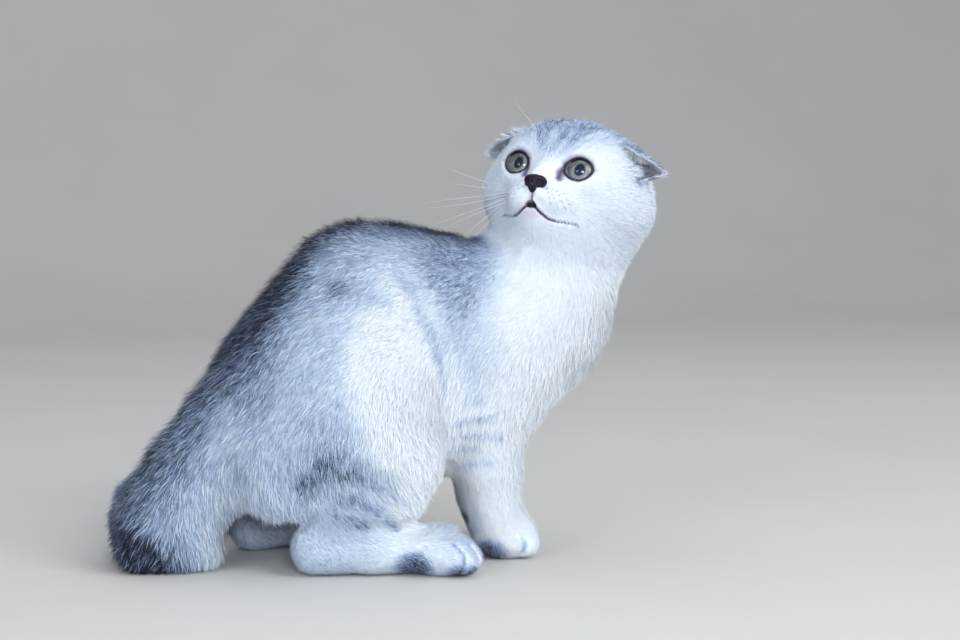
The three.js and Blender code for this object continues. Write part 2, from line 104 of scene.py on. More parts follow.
# Small helpers for fields over the body
def smooth(low, high, value):
    """0 at low and 1 at high, with a soft bend at both. Low may be the higher of the two."""
    t = np.clip((value - low) / (high - low), 0, 1)
    return t * t * (3 - 2 * t)


def bell(distance, width, power=2):
    return np.exp(-((distance / width) ** power))


def size_of(vectors):
    return np.linalg.norm(vectors, axis=-1)


def unit(vectors):
    return vectors / np.maximum(np.linalg.norm(vectors, axis=-1, keepdims=True), 1e-9)


def patch(points, centre, half, soft=0.5):
    """1 inside an egg-shaped zone, fading to 0 at its edge."""
    return smooth(1 + soft, 1 - soft, size_of((points - centre) / half))


def both_patches(points, centre, half, soft=0.5):
    x, y, z = centre
    return np.maximum(patch(points, centre, half, soft), patch(points, (x, -y, z), half, soft))


def pair(path):
    """A path on the left side and its mirror image."""
    return path, [(x, -y, z) for x, y, z in path]


def to_path(points, path):
    """Distance to a path of straight stretches, and how far along it the nearest place is, from 0 to 1."""
    path = np.asarray(path, float)
    best = np.full(len(points), np.inf)
    share = np.zeros(len(points))
    lengths = size_of(np.diff(path, axis=0))
    starts = np.concatenate([[0], np.cumsum(lengths)])
    for a, b, start, length in zip(path[:-1], path[1:], starts, lengths):
        t = np.clip((points - a) @ (b - a) / length**2, 0, 1)
        distance = size_of(points - a - t[:, None] * (b - a))
        closer = distance < best
        best[closer] = distance[closer]
        share[closer] = (start + t[closer] * length) / starts[-1]
    return best, share


def cloud(points, size, seed):
    """Smooth noise from -1 to 1 with lumps of about the given size."""
    table = np.random.default_rng(seed).uniform(-1, 1, (32, 32, 32))
    spot = points / size + 1000
    cell = np.floor(spot).astype(int)
    t = smooth(0, 1, spot - cell)
    total = np.zeros(len(points))
    for corner in np.ndindex(2, 2, 2):
        share = np.prod(np.where(corner, t, 1 - t), axis=1)
        i, j, k = ((cell + corner) % 32).T
        total += share * table[i, j, k]
    return total


# Feet: where the toes start on the floor, and the way that they point, in degrees from +X towards +Y
FEET = [(8.0, -19.5, 0), (15.0, 18.5, 0), (-30.0, -53.2, -14), (-52.5, 46.9, 12)]
HIND_FEET = FEET[2:]
TOE_GAPS = [  # grooves between the toes: ahead, sideways and up
    [(-2.6, 9.3, 18.5), (2.8, 10.9, 16.2), (6, 12.6, 13), (7, 14.3, 8.9), (7, 14.8, 3)],
    [(6, 4.6, 20), (13, 5.2, 17), (17.5, 6.2, 12), (18.5, 6.8, 3)],
    [(6, -3.4, 20), (13, -4, 17), (17.5, -4.6, 12), (18.5, -5, 3)],
]
GAPS_GO_IN = np.array([(-0.4, -0.8, -0.4), (-0.8, -0.1, -0.5), (-0.8, 0.1, -0.5)])
GAP_DEPTHS = (0, 1.2, 2.4)  # a groove is told at each, as the skin in it lies deeper than its line


def in_foot(points, foot):
    """Places about one foot: ahead of where its toes start, to its left, and up."""
    x, y, aim = foot
    return *spun(points[:, 0] - x, points[:, 1] - y, aim), points[:, 2]


def toe_gaps(points, width=1.0):
    """1 in the grooves between the toes."""
    most = np.zeros(len(points))
    for foot in FEET:
        ahead, left, up = in_foot(points, foot)
        spots = np.stack([ahead, left * np.sign(foot[1]), up], axis=1)
        near = np.flatnonzero((np.abs(ahead - 8) < 18) & (np.abs(left) < 22) & (up < 26))
        for gap, inward in zip(TOE_GAPS, GAPS_GO_IN):
            for depth in GAP_DEPTHS:
                distance, share = to_path(spots[near], gap + depth * inward)
                most[near] = np.maximum(most[near], bell(distance, width) * smooth(0, 0.3, share))
    return most


def instep(points):
    """The tops of the hind feet, where the hair stands up in a fringe."""
    most = np.zeros(len(points))
    for foot in HIND_FEET:
        ahead, left, up = in_foot(points, foot)
        here = smooth(17, 21, up) * smooth(30, 26, up) * smooth(16, 10, np.abs(left))
        most = np.maximum(most, here * smooth(-26, -18, ahead) * smooth(6, -2, ahead))
    return most


# Where things lie on the face, in the head's own frame
WHISKER_SPOTS = [  # rows of dark dots on the muzzle's pads
    np.array([42.2 - 1.3 * place - 0.6 * row, side * (7.3 + 2.7 * place + 1.2 * row), -11.8 - 2.2 * row])
    + 0.35 * np.sin([1.0, 2.3 * place + row, 1.7 * row + 3.1 * place])
    for side in (1, -1) for row in range(4) for place in range(4)
]
LIPS = pair([(41.5, 0, -18.8), (40, 3, -22), (38.5, 5.8, -24.1), (35.8, 9.1, -25.8), (32.6, 13, -25.9),
             (30.1, 16.3, -25.2), (26.6, 20.8, -24.4)])
PHILTRUM = [(45, 0, -12.6), (43.4, 0, -15.5), (42.2, 0, -18.6)]
TEAR_STAINS = pair([(34.2, 11.4, 2.2), (35.9, 9.2, -0.6), (36.3, 9.8, -3.8)])
NOSTRILS = pair([(45.6, 3.1, -9.6), (45.2, 4.6, -8.8), (43.6, 6.2, -9.9)])
SEEN_FROM_AHEAD = np.array([0.3, 1, 1])  # makes little of how far ahead a place on the face lies
SPINE = [(24, 2, 166), (-20, 0, 172), (-60, 0, 178), (-98, 0, 152), (-128, 0, 112), (-150, 0, 78),
         (-178, -2, 46), (-192, 2, 16)]
TAIL = [(-137, 0, 71), (-153, -2, 48), (-164, 0, 27), (-168, 24, 23), (-167, 50, 21), (-155, 76, 18.5),
        (-133, 94, 15.5), (-107, 103, 12.5)]


def to_face_line(spots, path):
    """Distance to a line on the face, and the share of it passed, as seen nearly from ahead."""
    return to_path(spots * SEEN_FROM_AHEAD, np.array(path, float) * SEEN_FROM_AHEAD)


def to_lips(spots):
    return np.minimum(*(to_face_line(spots, path)[0] for path in LIPS))


def to_philtrum(spots):
    return to_face_line(spots, PHILTRUM)[0]


def to_tears(spots):
    return np.minimum(*(to_path(spots, path)[0] for path in TEAR_STAINS))


def in_mouth(spots):
    """0 in the middle of the gap under the philtrum, 1 at its edge."""
    across, up = spots[:, 1], spots[:, 2] + 20.5
    return np.hypot(across / (3.0 - 0.6 * up), up / 2.0) + 9 * (spots[:, 0] < 34)


def eye_axes(side):
    """Columns: where the eye looks, the kitten's left and up, in the head's own frame."""
    return turned("z", side * EYE_OUT) @ turned("y", -EYE_UP)


LID_OUT = 7.3  # from the middle of the opening to its outer corner, over the ball
LID_IN = 8.0
LID_HIGH = 5.95
LID_DROP = 0.55  # how far the opening's middle lies below the line that the eye looks along
LID_POWER = 1.75  # 2 would be an oval, and less draws the corners to points
LID_SLANT = 8  # degrees that the outer corner rides above the inner one


def lid_measure(out, up):
    """1 on the almond line of the lids, less inside it."""
    wide = np.where(out < 0, LID_IN, LID_OUT)
    return (np.abs(out / wide) ** LID_POWER + np.abs(up / LID_HIGH) ** LID_POWER) ** (1 / LID_POWER)


def in_eye(spots, side):
    """Places about one eye: ahead of its middle, towards its outer corner, and up."""
    local = (spots - EYE_AT * [1, side, 1]) @ eye_axes(side)
    return local[:, 0], *spun(local[:, 1] * side, local[:, 2] + LID_DROP, LID_SLANT)


def lid_reach(spots, side):
    ahead, out, up = in_eye(spots, side)
    return np.where(ahead > 0, lid_measure(out, up), 9.0)


def to_lids(spots):
    """How far outside the nearer eye's lids a place lies, in shares of the opening."""
    return np.minimum(lid_reach(spots, 1), lid_reach(spots, -1))


def painted_lid_shade(spots):
    """1 in the fold above each eye's upper lid, where the shade under the brow is painted in."""
    most = np.zeros(len(spots))
    for side in (1, -1):
        fold = smooth(0.3, 0.06, np.abs(lid_reach(spots, side) - 1.2))
        most = np.maximum(most, fold * smooth(0.5, 4, in_eye(spots, side)[2]))
    return most


# The coat's measures over the body
def near_tail(points):
    return smooth(42, 29, to_path(points, TAIL)[0])


def along_back(points):
    """1 on the spine, less beside it."""
    return bell(to_path(points, SPINE)[0], 28)


def hackles(points):
    """Where the coat of the back stands up."""
    return patch(points, (-80, 0, 168), (42, 24, 26), 0.7)


def hair_length(points):
    spots = in_head(points)
    face = 1.25 + 0.082 * np.maximum(size_of(spots - NOSE_AT) - 7, 0)
    face = np.minimum(face, 1.1 + 1.5 * np.maximum(to_lids(spots) - 1, 0))
    z = points[:, 2]
    fore = smooth(-50, -30, points[:, 0]) * smooth(110, 60, z)
    feet = smooth(52, 22, z)
    limb = 2.9 + 0.06 * np.maximum(z - 4, 0) + 4.5 * instep(points)
    tail = near_tail(points)
    body = 9 + 5.0 * hackles(points) + 2 * tail + 3 * both_patches(points, (-48, -54, 46), (14, 14, 16))
    length = np.minimum(body, face)
    share = np.maximum(fore, feet) * (1 - tail)
    length = length * (1 - share) + np.minimum(length, limb) * share
    length += 6 * both_patches(points, (-118, -44, 42), (18, 16, 12))
    return length * (1 - 0.72 * toe_gaps(points, 2.2))


def coat_lift(points):
    """Degrees that the coat rises from the skin."""
    return 23 + 14 * hackles(points) + 10 * along_back(points)


def coat_depth(points):
    """How far the skin lies inside the coat's tips."""
    length = hair_length(points) - 3.5 * instep(points)
    return 0.3 * np.minimum(length, 12) + 1.7 * toe_gaps(points, 1.5)


# The skin: the union of the flesh's solids, netted anew and relaxed
FLESH = ("torso", "neck", "head", "foreleg_left", "foreleg_right", "hind_leg_left", "hind_leg_right",
         "tail_root", "tail_end")
FILL = ("eye_left", "eye_right", "nose")
SWELL = 0.4  # closes the thin cuts between the nodes
SKIN_CELL = 1.75
FLOOR_GAP = 0.35  # the skin of the soles and of the tail lies this far above the floor


def merged_copy(node, swell):
    form = bmesh.new()
    form.from_mesh(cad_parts[node].data)
    bmesh.ops.remove_doubles(form, verts=form.verts, dist=1e-6)
    form.normal_update()
    points = np.array([v.co + v.normal * swell * MM for v in form.verts])
    faces = [[v.index for v in f.verts] for f in form.faces]
    form.free()
    return points, faces


def made_mesh(name, points, faces):
    mesh = bpy.data.meshes.new(name)
    mesh.from_pydata(points.tolist(), [], faces)
    return mesh


def shown(name, mesh):
    thing = bpy.data.objects.new(name, mesh)
    bpy.context.scene.collection.objects.link(thing)
    return thing


def evaluated_mesh(thing):
    graph = bpy.context.evaluated_depsgraph_get()
    mesh = bpy.data.meshes.new_from_object(thing.evaluated_get(graph), depsgraph=graph)
    bpy.data.objects.remove(thing)
    return mesh


def read(items, key, width, kind=np.float32):
    """A row of numbers for each of a mesh's items."""
    flat = np.empty(len(items) * width, kind)
    items.foreach_get(key, flat)
    return flat.reshape(-1, width)


def points_of(mesh):
    return read(mesh.vertices, "co", 3).astype(float)


def edges_of(mesh):
    return read(mesh.edges, "vertices", 2, np.int32)


def normals_of(mesh):
    return read(mesh.vertex_normals, "vector", 3).astype(float)


def set_points(mesh, points):
    mesh.vertices.foreach_set("co", points.astype(np.float32).ravel())
    mesh.update()


def set_measures(mesh, **measures):
    """Gives each point of a mesh a value under each name."""
    for key, values in measures.items():
        layer = mesh.attributes.new(key, "FLOAT", "POINT")
        layer.data.foreach_set("value", values.astype(np.float32).ravel())


def smoothed(mesh):
    mesh.polygons.foreach_set("use_smooth", np.ones(len(mesh.polygons), bool))


def reshaped(mesh, edit):
    """Lets an edit add, join or take away points and faces."""
    form = bmesh.new()
    form.from_mesh(mesh)
    form.verts.ensure_lookup_table()
    edit(form)
    form.to_mesh(mesh)
    form.free()


def dressed(thing, slot, *replaced, finish=None):
    """Finishes a piece of the kitten, which is one body."""
    if finish:
        thing.data.materials.append(finish)
    smoothed(thing.data)
    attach(thing, "root")
    if replaced:
        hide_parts(*replaced)


def relax(points, edges, rounds, share, back=0.0):
    """Evens a surface out; a step back after each step keeps its size."""
    a, b = edges.T
    count = len(points)
    degree = np.bincount(edges.ravel(), minlength=count)[:, None]
    for _ in range(rounds):
        for step in (share, -back):
            total = np.stack([
                np.bincount(a, spots[b], count) + np.bincount(b, spots[a], count) for spots in points.T
            ], axis=1)
            points = points + np.asarray(step) * (total / degree - points)
    return points


def joined(parts):
    """The points and faces of several parts as one."""
    points, faces = [], []
    for spots, polygons in parts:
        start = sum(len(p) for p in points)
        points.append(spots)
        faces += [[start + i for i in polygon] for polygon in polygons]
    return np.concatenate(points), faces


def netted(name, nodes, swell, cell):
    """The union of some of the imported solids, netted anew."""
    whole = shown(name, made_mesh(name, *joined(merged_copy(node, swell) for node in nodes)))
    net = whole.modifiers.new("net", "REMESH")
    net.mode = "VOXEL"
    net.voxel_size = cell * MM
    return evaluated_mesh(whole)


def split_faces(mesh, inside):
    """Halves the edges of the faces in a zone, so that fine folds can be raised there."""
    def halve(form):
        edges = [e for e in form.edges if inside[e.verts[0].index] and inside[e.verts[1].index]]
        bmesh.ops.subdivide_edges(form, edges=edges, cuts=1, use_grid_fill=True)

    reshaped(mesh, halve)


def face_zone(points):
    ahead, left, up = in_head(points).T
    return (ahead > 14) & (np.abs(left) < 34) & (up > -36) & (up < 16)


def fold_zone(points):
    spots = in_head(points)
    lips = (to_lips(spots) < 2.4) & (spots[:, 0] > 20)
    lids = np.abs(to_lids(spots) - 1) < 0.28
    return lips | lids | (to_philtrum(spots) < 2.4) & (spots[:, 0] > 36)


def carved(points, normals):
    """Presses the lids, lips and philtrum into the face."""
    spots = in_head(points)
    facing = normals @ head_axes
    ahead = spots[:, 0] > 20
    for path in LIPS:
        distance, share = to_face_line(spots, path)
        groove = 1.25 * bell(distance, 0.62) - 0.34 * bell(distance - 1.5, 0.8)
        spots = spots - facing * (groove * (1 - 0.75 * smooth(0.45, 0.9, share)) * ahead)[:, None]
    spots = spots - facing * (0.8 * bell(to_philtrum(spots), 0.6) * ahead)[:, None]
    spots = spots - facing * (2.2 * smooth(1.1, 0.6, in_mouth(spots)))[:, None]
    for path in NOSTRILS:  # the nose leather dips in here
        spots = spots - facing * (2.6 * smooth(3.4, 1.6, to_path(spots, path)[0]))[:, None]
    hug = EYE_RADIUS + 0.75
    for side in (1, -1):
        middle = EYE_AT * [1, side, 1]
        ray = spots - middle
        radius = size_of(ray)
        reach = lid_reach(spots, side)
        wanted = hug + (radius - hug) * smooth(1.0, 1.55, reach)
        wanted = np.where(reach > 1, np.maximum(wanted, EYE_RADIUS + 0.55), EYE_RADIUS - 1.6)
        change = (reach < 1.6) & (radius < 16)
        spots = np.where(change[:, None], middle + ray / radius[:, None] * wanted[:, None], spots)
    return from_head(spots)


def paw_zone(points):
    return smooth(40, 24, points[:, 2]) * (1 - near_tail(points))


def skin_mesh():
    mesh = netted("flesh", FLESH + FILL, SWELL, SKIN_CELL)
    points = points_of(mesh) / MM - home
    edges = edges_of(mesh)
    points = relax(points, edges, 10, 0.5, 0.52)
    face = smooth(62, 46, size_of(in_head(points) - [40, 0, -8]))
    coarse = 1 - np.maximum(face, paw_zone(points))[:, None]
    points = relax(points, edges, 50, 0.6 * coarse, 0.58 * coarse)
    set_points(mesh, points)
    points = points - normals_of(mesh) * coat_depth(points)[:, None]
    points = relax(points, edges, 3, 0.4)
    points[:, 2] = np.maximum(points[:, 2], FLOOR_GAP)
    set_points(mesh, points)
    for zone in (face_zone, fold_zone):
        split_faces(mesh, zone(points_of(mesh)))
        points = points_of(mesh)
        points = relax(points, edges_of(mesh), 3, 0.45 * zone(points)[:, None], 0.4)
        set_points(mesh, points)
    set_points(mesh, carved(points, normals_of(mesh)))
    eyes = np.flatnonzero(to_lids(in_head(points)) < 0.93)
    reshaped(mesh, lambda form: bmesh.ops.delete(form, geom=[form.verts[i] for i in eyes], context="VERTS"))
    return mesh


# Folded ears: each is a sheet from its root in the skull, round its back, over the fold to the hanging tip
EAR_BASE = [(13, 27, 26), (-15, 33, 14), (11, 37, 4)]
EAR_FOLD = [(15, 33, 24), (-14, 50, 26), (8, 44, 8)]
EAR_EDGE = [(15, 40, 20), (-1, 60.5, 15), (7, 46, 11)]
EAR_ROOT = (2, 24, 10)  # a place inside the skull that the sheet's root runs towards
EAR_STEPS = (44, 34)


def bend(a, b, c, t):
    """A curve of three points at t."""
    t = np.asarray(t)[..., None]
    return (1 - t) ** 2 * np.asarray(a) + 2 * t * (1 - t) * np.asarray(b) + t * t * np.asarray(c)


def ear_sheet(side):
    """Points, faces and the share from root to rim of one ear's sheet, inner face first."""
    nu, nv = EAR_STEPS
    u = np.linspace(0, 1, nu + 1)
    rows = [bend(*row, u) for row in (EAR_BASE, EAR_FOLD, EAR_EDGE)]
    v = np.linspace(-0.28, 1, nv + 1)
    sheet = np.stack([bend(*rows, np.full(nu + 1, max(t, 0))) for t in v])
    inner = rows[0] + 0.35 * (np.array(EAR_ROOT, float) - rows[0])
    for j in np.flatnonzero(v < 0):
        sheet[j] = rows[0] + (inner - rows[0]) * (-v[j] / 0.28)
    along = np.gradient(sheet, axis=0)
    across = np.gradient(sheet, axis=1)
    out = unit(np.cross(across, along))
    rim = np.maximum(np.abs(2 * u[None] - 1) ** 5, np.maximum(v[:, None], 0) ** 5)
    thick = 1.7 - 1.1 * rim
    points = np.concatenate([(sheet + s * out * thick[..., None] / 2).reshape(-1, 3) for s in (1, -1)])
    points[:, 1] *= side
    wide = nu + 1
    layer = wide * (nv + 1)
    grid = np.arange(layer).reshape(nv + 1, wide)
    a, b, c, d = grid[:-1, :-1], grid[:-1, 1:], grid[1:, 1:], grid[1:, :-1]
    top = np.stack([a, b, c, d], axis=-1).reshape(-1, 4)
    rim_line = np.concatenate([grid[0], grid[1:, -1], grid[-1, -2::-1], grid[-2:0:-1, 0]])
    after = np.roll(rim_line, -1)
    wall = np.stack([rim_line, rim_line + layer, after + layer, after], axis=-1)
    faces = np.concatenate([top, top[:, ::-1] + layer, wall])
    if side < 0:
        faces = faces[:, ::-1]
    share = np.tile(np.repeat(v, wide), 2)
    return from_head(points), faces.tolist(), share


def whole_skin():
    """The skin of the body with both ears' sheets, and for each point its place on an ear: 0 on the body,
    1 outside an ear, 2 inside it and -1 within the skull."""
    body = skin_mesh()
    parts = [(points_of(body), [list(f.vertices) for f in body.polygons])]
    ear = [np.zeros(len(body.vertices))]
    for side in (1, -1):
        *part, share = ear_sheet(side)
        parts.append(part)
        half = len(share) // 2
        label = np.concatenate([np.full(half, 2.0), np.ones(half)])
        ear.append(np.where(share < -0.06, -1, label))
    return made_mesh("skin", *joined(parts)), np.concatenate(ear)


def in_row(points):
    """Millimetres in the kitten's frame as metres in the row's."""
    return (points + home) * MM


# Markings and some painted shade: how dark the tips of the coat are, from 0 for white to 1 for near black
BANDS = [  # darker bands on either side of the body: path, half width and how much darker
    ([(-51, 33, 154), (-42, 39, 139), (-36, 40, 126), (-32, 39, 116), (-29, 38, 103), (-28, 37, 87)],
     3.4, 0.26),
    ([(-87, 31, 144), (-77, 33, 147), (-67, 36, 144), (-57, 39, 139)], 5.5, 0.16),
    ([(-106, 40, 48), (-100, 47, 58), (-94, 53, 64)], 6, 0.32),
    ([(-91, 53, 60), (-77, 56, 56), (-64, 57, 48), (-53, 52, 36)], 2.4, 0.22),
    ([(-90, 43, 44), (-78, 50, 41), (-69, 53, 35), (-60, 51, 26)], 2.4, 0.26),
    ([(-95, 42, 34), (-86, 50, 32), (-76, 52, 28)], 2.6, 0.28),
    ([(-91, 49, 53), (-77, 59, 64), (-62, 60, 56), (-49, 57, 45)], 2.2, 0.16),
    ([(-27.5, 37, 86), (-18, 37, 89), (-7.5, 38, 90)], 1.5, 0.14),
    ([(-30, 36.5, 75.5), (-16, 37, 79.5), (-1, 39, 81.5)], 1.3, 0.32),
    ([(-31, 34.5, 66.5), (-18, 36, 71.5), (-6, 37, 71), (1, 38, 69.5)], 1.3, 0.32),
    ([(-32, 33, 61), (-20, 34.5, 63.5), (-11, 36, 64.5)], 1.3, 0.3),
    ([(-22, 26, 52.5), (-12, 35, 56), (-3, 38, 56)], 1.5, 0.16),
]
SIDE_ON = np.array([1, 0.25, 1])  # makes little of how far out from the body a place lies
NAPE = [(72, 18, 182), (60, 27, 164), (42, 28, 156), (22, 20, 158), (4, 8, 168)]
SOLES = [  # dark fur about the pads: place, half sizes and how dark
    ((-51.5, -60, 4), (9, 9, 9), 1), ((-27, -67.5, 2), (9, 8, 6), 0.95), ((-3, -28, 4), (8, 9, 8), 0.9),
    ((4, 28, 4), (8, 9, 7), 0.9), ((-75, 52, 4), (9, 9, 9), 1), ((-49, 60, 2), (9, 8, 6), 0.95),
    ((-14, -21.5, 24.8), (3.2, 3.6, 3.4), 1), ((-7, 20.5, 24.8), (3.2, 3.6, 3.4), 1),
]


def banded(points):
    out = np.abs(points[:, 1])
    flat = np.stack([points[:, 0], out, points[:, 2]], axis=1) * SIDE_ON
    total = np.zeros(len(points))
    for path, width, dark in BANDS:
        distance, share = to_path(flat, np.array(path) * SIDE_ON)
        total += dark * bell(distance, width) * smooth(-0.15, 0.3, share)
    return total * (1 + 0.45 * cloud(points, 7, 41)) * smooth(8, 16, out)


def shading(points, ear):
    """The tone of the coat's tips, from the body's markings to those of the tail, head, feet and ears, with
    painted shade on the feet, in the toes' grooves and in the folds over the lids.
    """
    x, y, z = points.T
    spots = in_head(points)
    back = to_path(points, SPINE)[0]
    tone = 0.13 + 0.14 * smooth(70, 150, z) + 0.1 * smooth(-70, -130, x) * smooth(30, 70, z)
    tone += 0.14 * both_patches(points, (-86, -56, 58), (28, 26, 28), 0.6)
    tone *= smooth(8, -16, x - 0.5 * (z - 150))
    tone += 0.76 * bell(back, 17.5 + 18 * smooth(-84, -126, x), 3) * smooth(16, -4, x)
    tail = near_tail(points)
    corner = patch(points, (-186, -14, 5), (22, 24, 18), 0.7)
    under = 0.09 + 0.6 * bell(back, 31, 3) + 0.16 * bell(back, 13) + 0.95 * corner
    tone = tone * (1 - tail) + tail * under
    tone -= 0.5 * both_patches(points, (-50, -46, 96), (24, 34, 52), 0.7) * (1 - tail)
    tone += 0.14 * both_patches(points, (-16, -38, 118), (16, 18, 26), 0.6)
    tone += 0.2 * both_patches(points, (-18, -30, 155), (22, 20, 18), 0.6)
    tone += banded(points) * (1 - tail)
    tone -= 0.5 * smooth(20, 44, x + 0.25 * (150 - z))
    # painted shade: greys the feet, and the hind toes more, where light falls on their tops
    toes = both_patches(points, (-22, -56, 12), (16, 16, 14), 0.6)
    tone += (0.09 + 0.12 * toes) * smooth(40, 16, z) * (1 - tail)
    ahead, left, up = spots.T
    crown = smooth(-6, 21, up - 0.62 * np.abs(left))
    behind = smooth(0, -34, ahead) * smooth(-36, 4, up)
    face = 0.05 + crown * (0.38 + 0.26 * head_streaks(spots)) + 0.3 * behind
    head = smooth(58, 48, size_of(spots))
    tone = tone * (1 - head) + head * face
    tone = np.maximum(tone, 0.54 * bell(to_path(points, NAPE)[0], 21) * smooth(-4, 12, y))
    tone += 0.1 * cloud(points, 16, 5) * smooth(0.1, 0.5, tone)
    fore_foot = smooth(-22, -12, x)
    tone = np.maximum.reduce([
        tone,
        # painted shade in the grooves between the toes
        (0.72 - 0.34 * fore_foot) * toe_gaps(points, 1.45),
        0.72 * smooth(3.3, 0.3, to_tears(spots)),
        # painted shade in the fold over each upper lid
        0.4 * painted_lid_shade(spots),
        *(dark * patch(points, place, half) for place, half, dark in SOLES),
    ])
    tone = np.where(ear == 1, 0.26 + 0.34 * smooth(38, 54, np.abs(left)), tone)
    tone = np.where(ear == 2, 0.02 + 0.16 * smooth(50, 58, np.abs(left)), tone)
    return np.clip(tone, 0, 1)


def blush(points, ear):
    """Bare or thinly furred pink skin: lips, the mouth's gap and the inner ear; and mauve painted shade in
    the folds over the lids.
    """
    spots = in_head(points)
    ahead = spots[:, 0]
    return np.clip(np.maximum.reduce([
        0.7 * smooth(2.2, 0.5, to_lips(spots)) * smooth(32, 38, ahead),
        0.6 * patch(spots, (37, 0, -25), (6, 4.6, 3), 0.6),
        0.75 * smooth(2.6, 0.6, to_philtrum(spots)) * smooth(26, 33, ahead),
        0.3 * smooth(4.2, 0.8, to_tears(spots)),
        # mauve painted shade in the fold over each upper lid
        0.3 * painted_lid_shade(spots),
        0.32 * both_patches(spots, (0, 40, 15), (15, 13, 14)) * (ear == 2),
    ]), 0, 1)


def stain(points):
    """Dark skin: the line of the mouth, its gap, the rims of the lids and the tear stains; the gap's
    darkness is partly painted shade in its pit.
    """
    spots = in_head(points)
    front = smooth(18, 24, spots[:, 0])
    dark = [
        0.95 * smooth(0.85, 0.3, to_philtrum(spots)) * front,
        # dark lip skin and painted shade in the pit of the mouth's gap
        smooth(1.25, 0.85, in_mouth(spots)),
        0.85 * smooth(3.4, 0.3, to_tears(spots)),
        0.8 * both_patches(spots, (12, 40.5, 6), (3, 2.6, 2.6), 0.4),
        0.6 * both_patches(spots, (6.5, 47, 10.5), (3, 1.8, 1.6), 0.4),
    ]
    for path in LIPS:
        distance, share = to_face_line(spots, path)
        fade = 1 - 0.7 * smooth(0.55, 0.7, share) * (0.5 + 0.5 * np.sin(share * 100))
        dark.append(smooth(1.0, 0.4, distance) * fade * front)
    for spot in WHISKER_SPOTS:
        dark.append(0.5 * smooth(0.75, 0.3, size_of((spots - spot) * [0.1, 1, 1])) * front)
    for side in (1, -1):
        ahead, out, up = in_eye(spots, side)
        dark.append(0.6 * bell(out - 8.8, 1.3) * bell(up, 0.9) * (ahead > 0))
        soft = 0.22 + 0.1 * smooth(-2, 4, up)
        dark.append(smooth(soft, 0.08, np.abs(lid_reach(spots, side) - 1)))
    return np.maximum.reduce(dark)


def head_streaks(spots):
    """Fine streaks that run from the nose up over the crown, from -1 to 1."""
    turn = np.arctan2(spots[:, 1], spots[:, 2] + 8)
    far = size_of(spots - NOSE_AT)
    return cloud(np.stack([turn * 17, far * 0.07, 0 * far], axis=1), 1, 31)


# The lie of the coat: places on the body and the way that the hair runs there
LIE = [
    ((60, -5, 150), (0.2, 0, -1)), ((64, -5, 110), (0, 0, -1)), ((20, 0, 168), (-1, 0, -0.1)),
    ((-20, 0, 172), (-1, 0, 0.05)), ((-60, 0, 178), (-1, 0, -0.1)), ((-100, 0, 155), (-0.8, 0, -0.6)),
    ((-130, 0, 110), (-0.6, 0, -0.8)), ((-150, 0, 75), (-0.5, 0, -0.85)), ((-60, 0, 42), (-1, 0, 0)),
    ((-175, 0, 35), (-0.5, 0, -0.9)), ((-188, 8, 16), (-0.5, 0.5, -0.7)), ((-168, 28, 23), (-0.1, 1, -0.2)),
    ((-184, -14, 12), (-0.5, -0.3, -0.8)), ((-150, -22, 20), (0.3, -0.2, -1)),
    ((-166, 60, 21), (0.2, 1, -0.1)), ((-150, 80, 18), (0.7, 0.7, 0)), ((-120, 100, 15), (1, 0.4, 0)),
    ((-102, 104, 12), (1, 0.2, 0)),
]
LIE_BOTH = [
    ((45, 25, 100), (-0.2, 0, -1)), ((34, 30, 150), (-0.4, 0, -0.9)), ((0, 37, 135), (-0.75, 0, -0.6)),
    ((0, 37, 95), (-0.4, 0, -0.9)), ((-40, 42, 135), (-0.8, 0, -0.5)), ((-45, 42, 90), (-0.6, 0, -0.75)),
    ((-80, 42, 125), (-0.75, 0, -0.65)), ((-110, 52, 90), (-0.4, 0, -0.9)), ((-70, 60, 70), (-0.1, 0, -1)),
    ((-50, 55, 48), (0.3, 0, -0.9)), ((-100, 60, 50), (0, 0, -1)), ((-98, 40, 15), (0.6, 0, -0.6)),
    ((-60, 45, 22), (1, 0, -0.2)), ((-30, 48, 15), (1, 0, -0.3)), ((0, 20, 62), (0, 0, -1)),
    ((2, 20, 28), (0.1, 0, -1)), ((16, 20, 14), (0.8, 0, -0.5)), ((-84, 54, 32), (0.7, 0, -0.6)),
    ((-62, 56, 28), (0.9, 0, -0.4)), ((-72, 55, 10), (1, 0, -0.2)),
]


def lie(points, normals, ear):
    places = LIE + [((x, side * y, z), way) for (x, y, z), way in LIE_BOTH for side in (1, -1)]
    way = np.zeros_like(points)
    for place, toward in places:
        gap = ((points - place) ** 2).sum(axis=1)
        way += unit(np.array(toward, float)) / ((gap + 150) ** 2)[:, None]
    way = unit(way)
    spots = in_head(points)
    from_nose = unit(points - from_head(NOSE_AT + [3, 0, 1]))
    share = smooth(66, 48, size_of(spots + [0, 0, 4]))[:, None]
    way = unit(way * (1 - share) + from_nose * share)
    side = np.sign(spots[:, 1])
    from_skull = unit(points - from_head(np.stack([0 * side + 4, 22 * side, 0 * side + 18], axis=1)))
    way = np.where((ear > 0)[:, None], from_skull, way)
    sideways = np.stack([cloud(points, 7, 11), cloud(points, 7, 12), cloud(points, 7, 13)], axis=1)
    way = way + 0.28 * sideways * smooth(2, 8, hair_length(points))[:, None]
    way = way - normals * (way * normals).sum(axis=1, keepdims=True)
    return unit(way)


# Tufts
LEVELS = np.array([0.0, 0.55, 1.0])  # places along a tuft where it has points
WIDTHS = np.array([1.0, 0.8, 0.0])
PATCH = 0.003  # size of a tuft's patch on the unwrap
HEAD_REACH = 54  # the head's own coat ends this far from its middle


def density(points, ear):
    """Tufts for each square millimetre."""
    spots = in_head(points)
    head = smooth(60, 48, size_of(spots))
    rate = (9 + 13 * head) / (hair_length(points) + 1) + 1.9 * (1 - head)
    bare = np.clip(np.maximum(blush(points, ear * 0) * 1.3, stain(points) * 1.2), 0, 1)
    rate = rate * (1 - 0.9 * bare) * smooth(1.06, 1.2, to_lids(spots))
    rate = np.where(ear == 2, 5, rate)
    return np.where((ear < 0) | (points[:, 2] < 0.8), 0, rate)


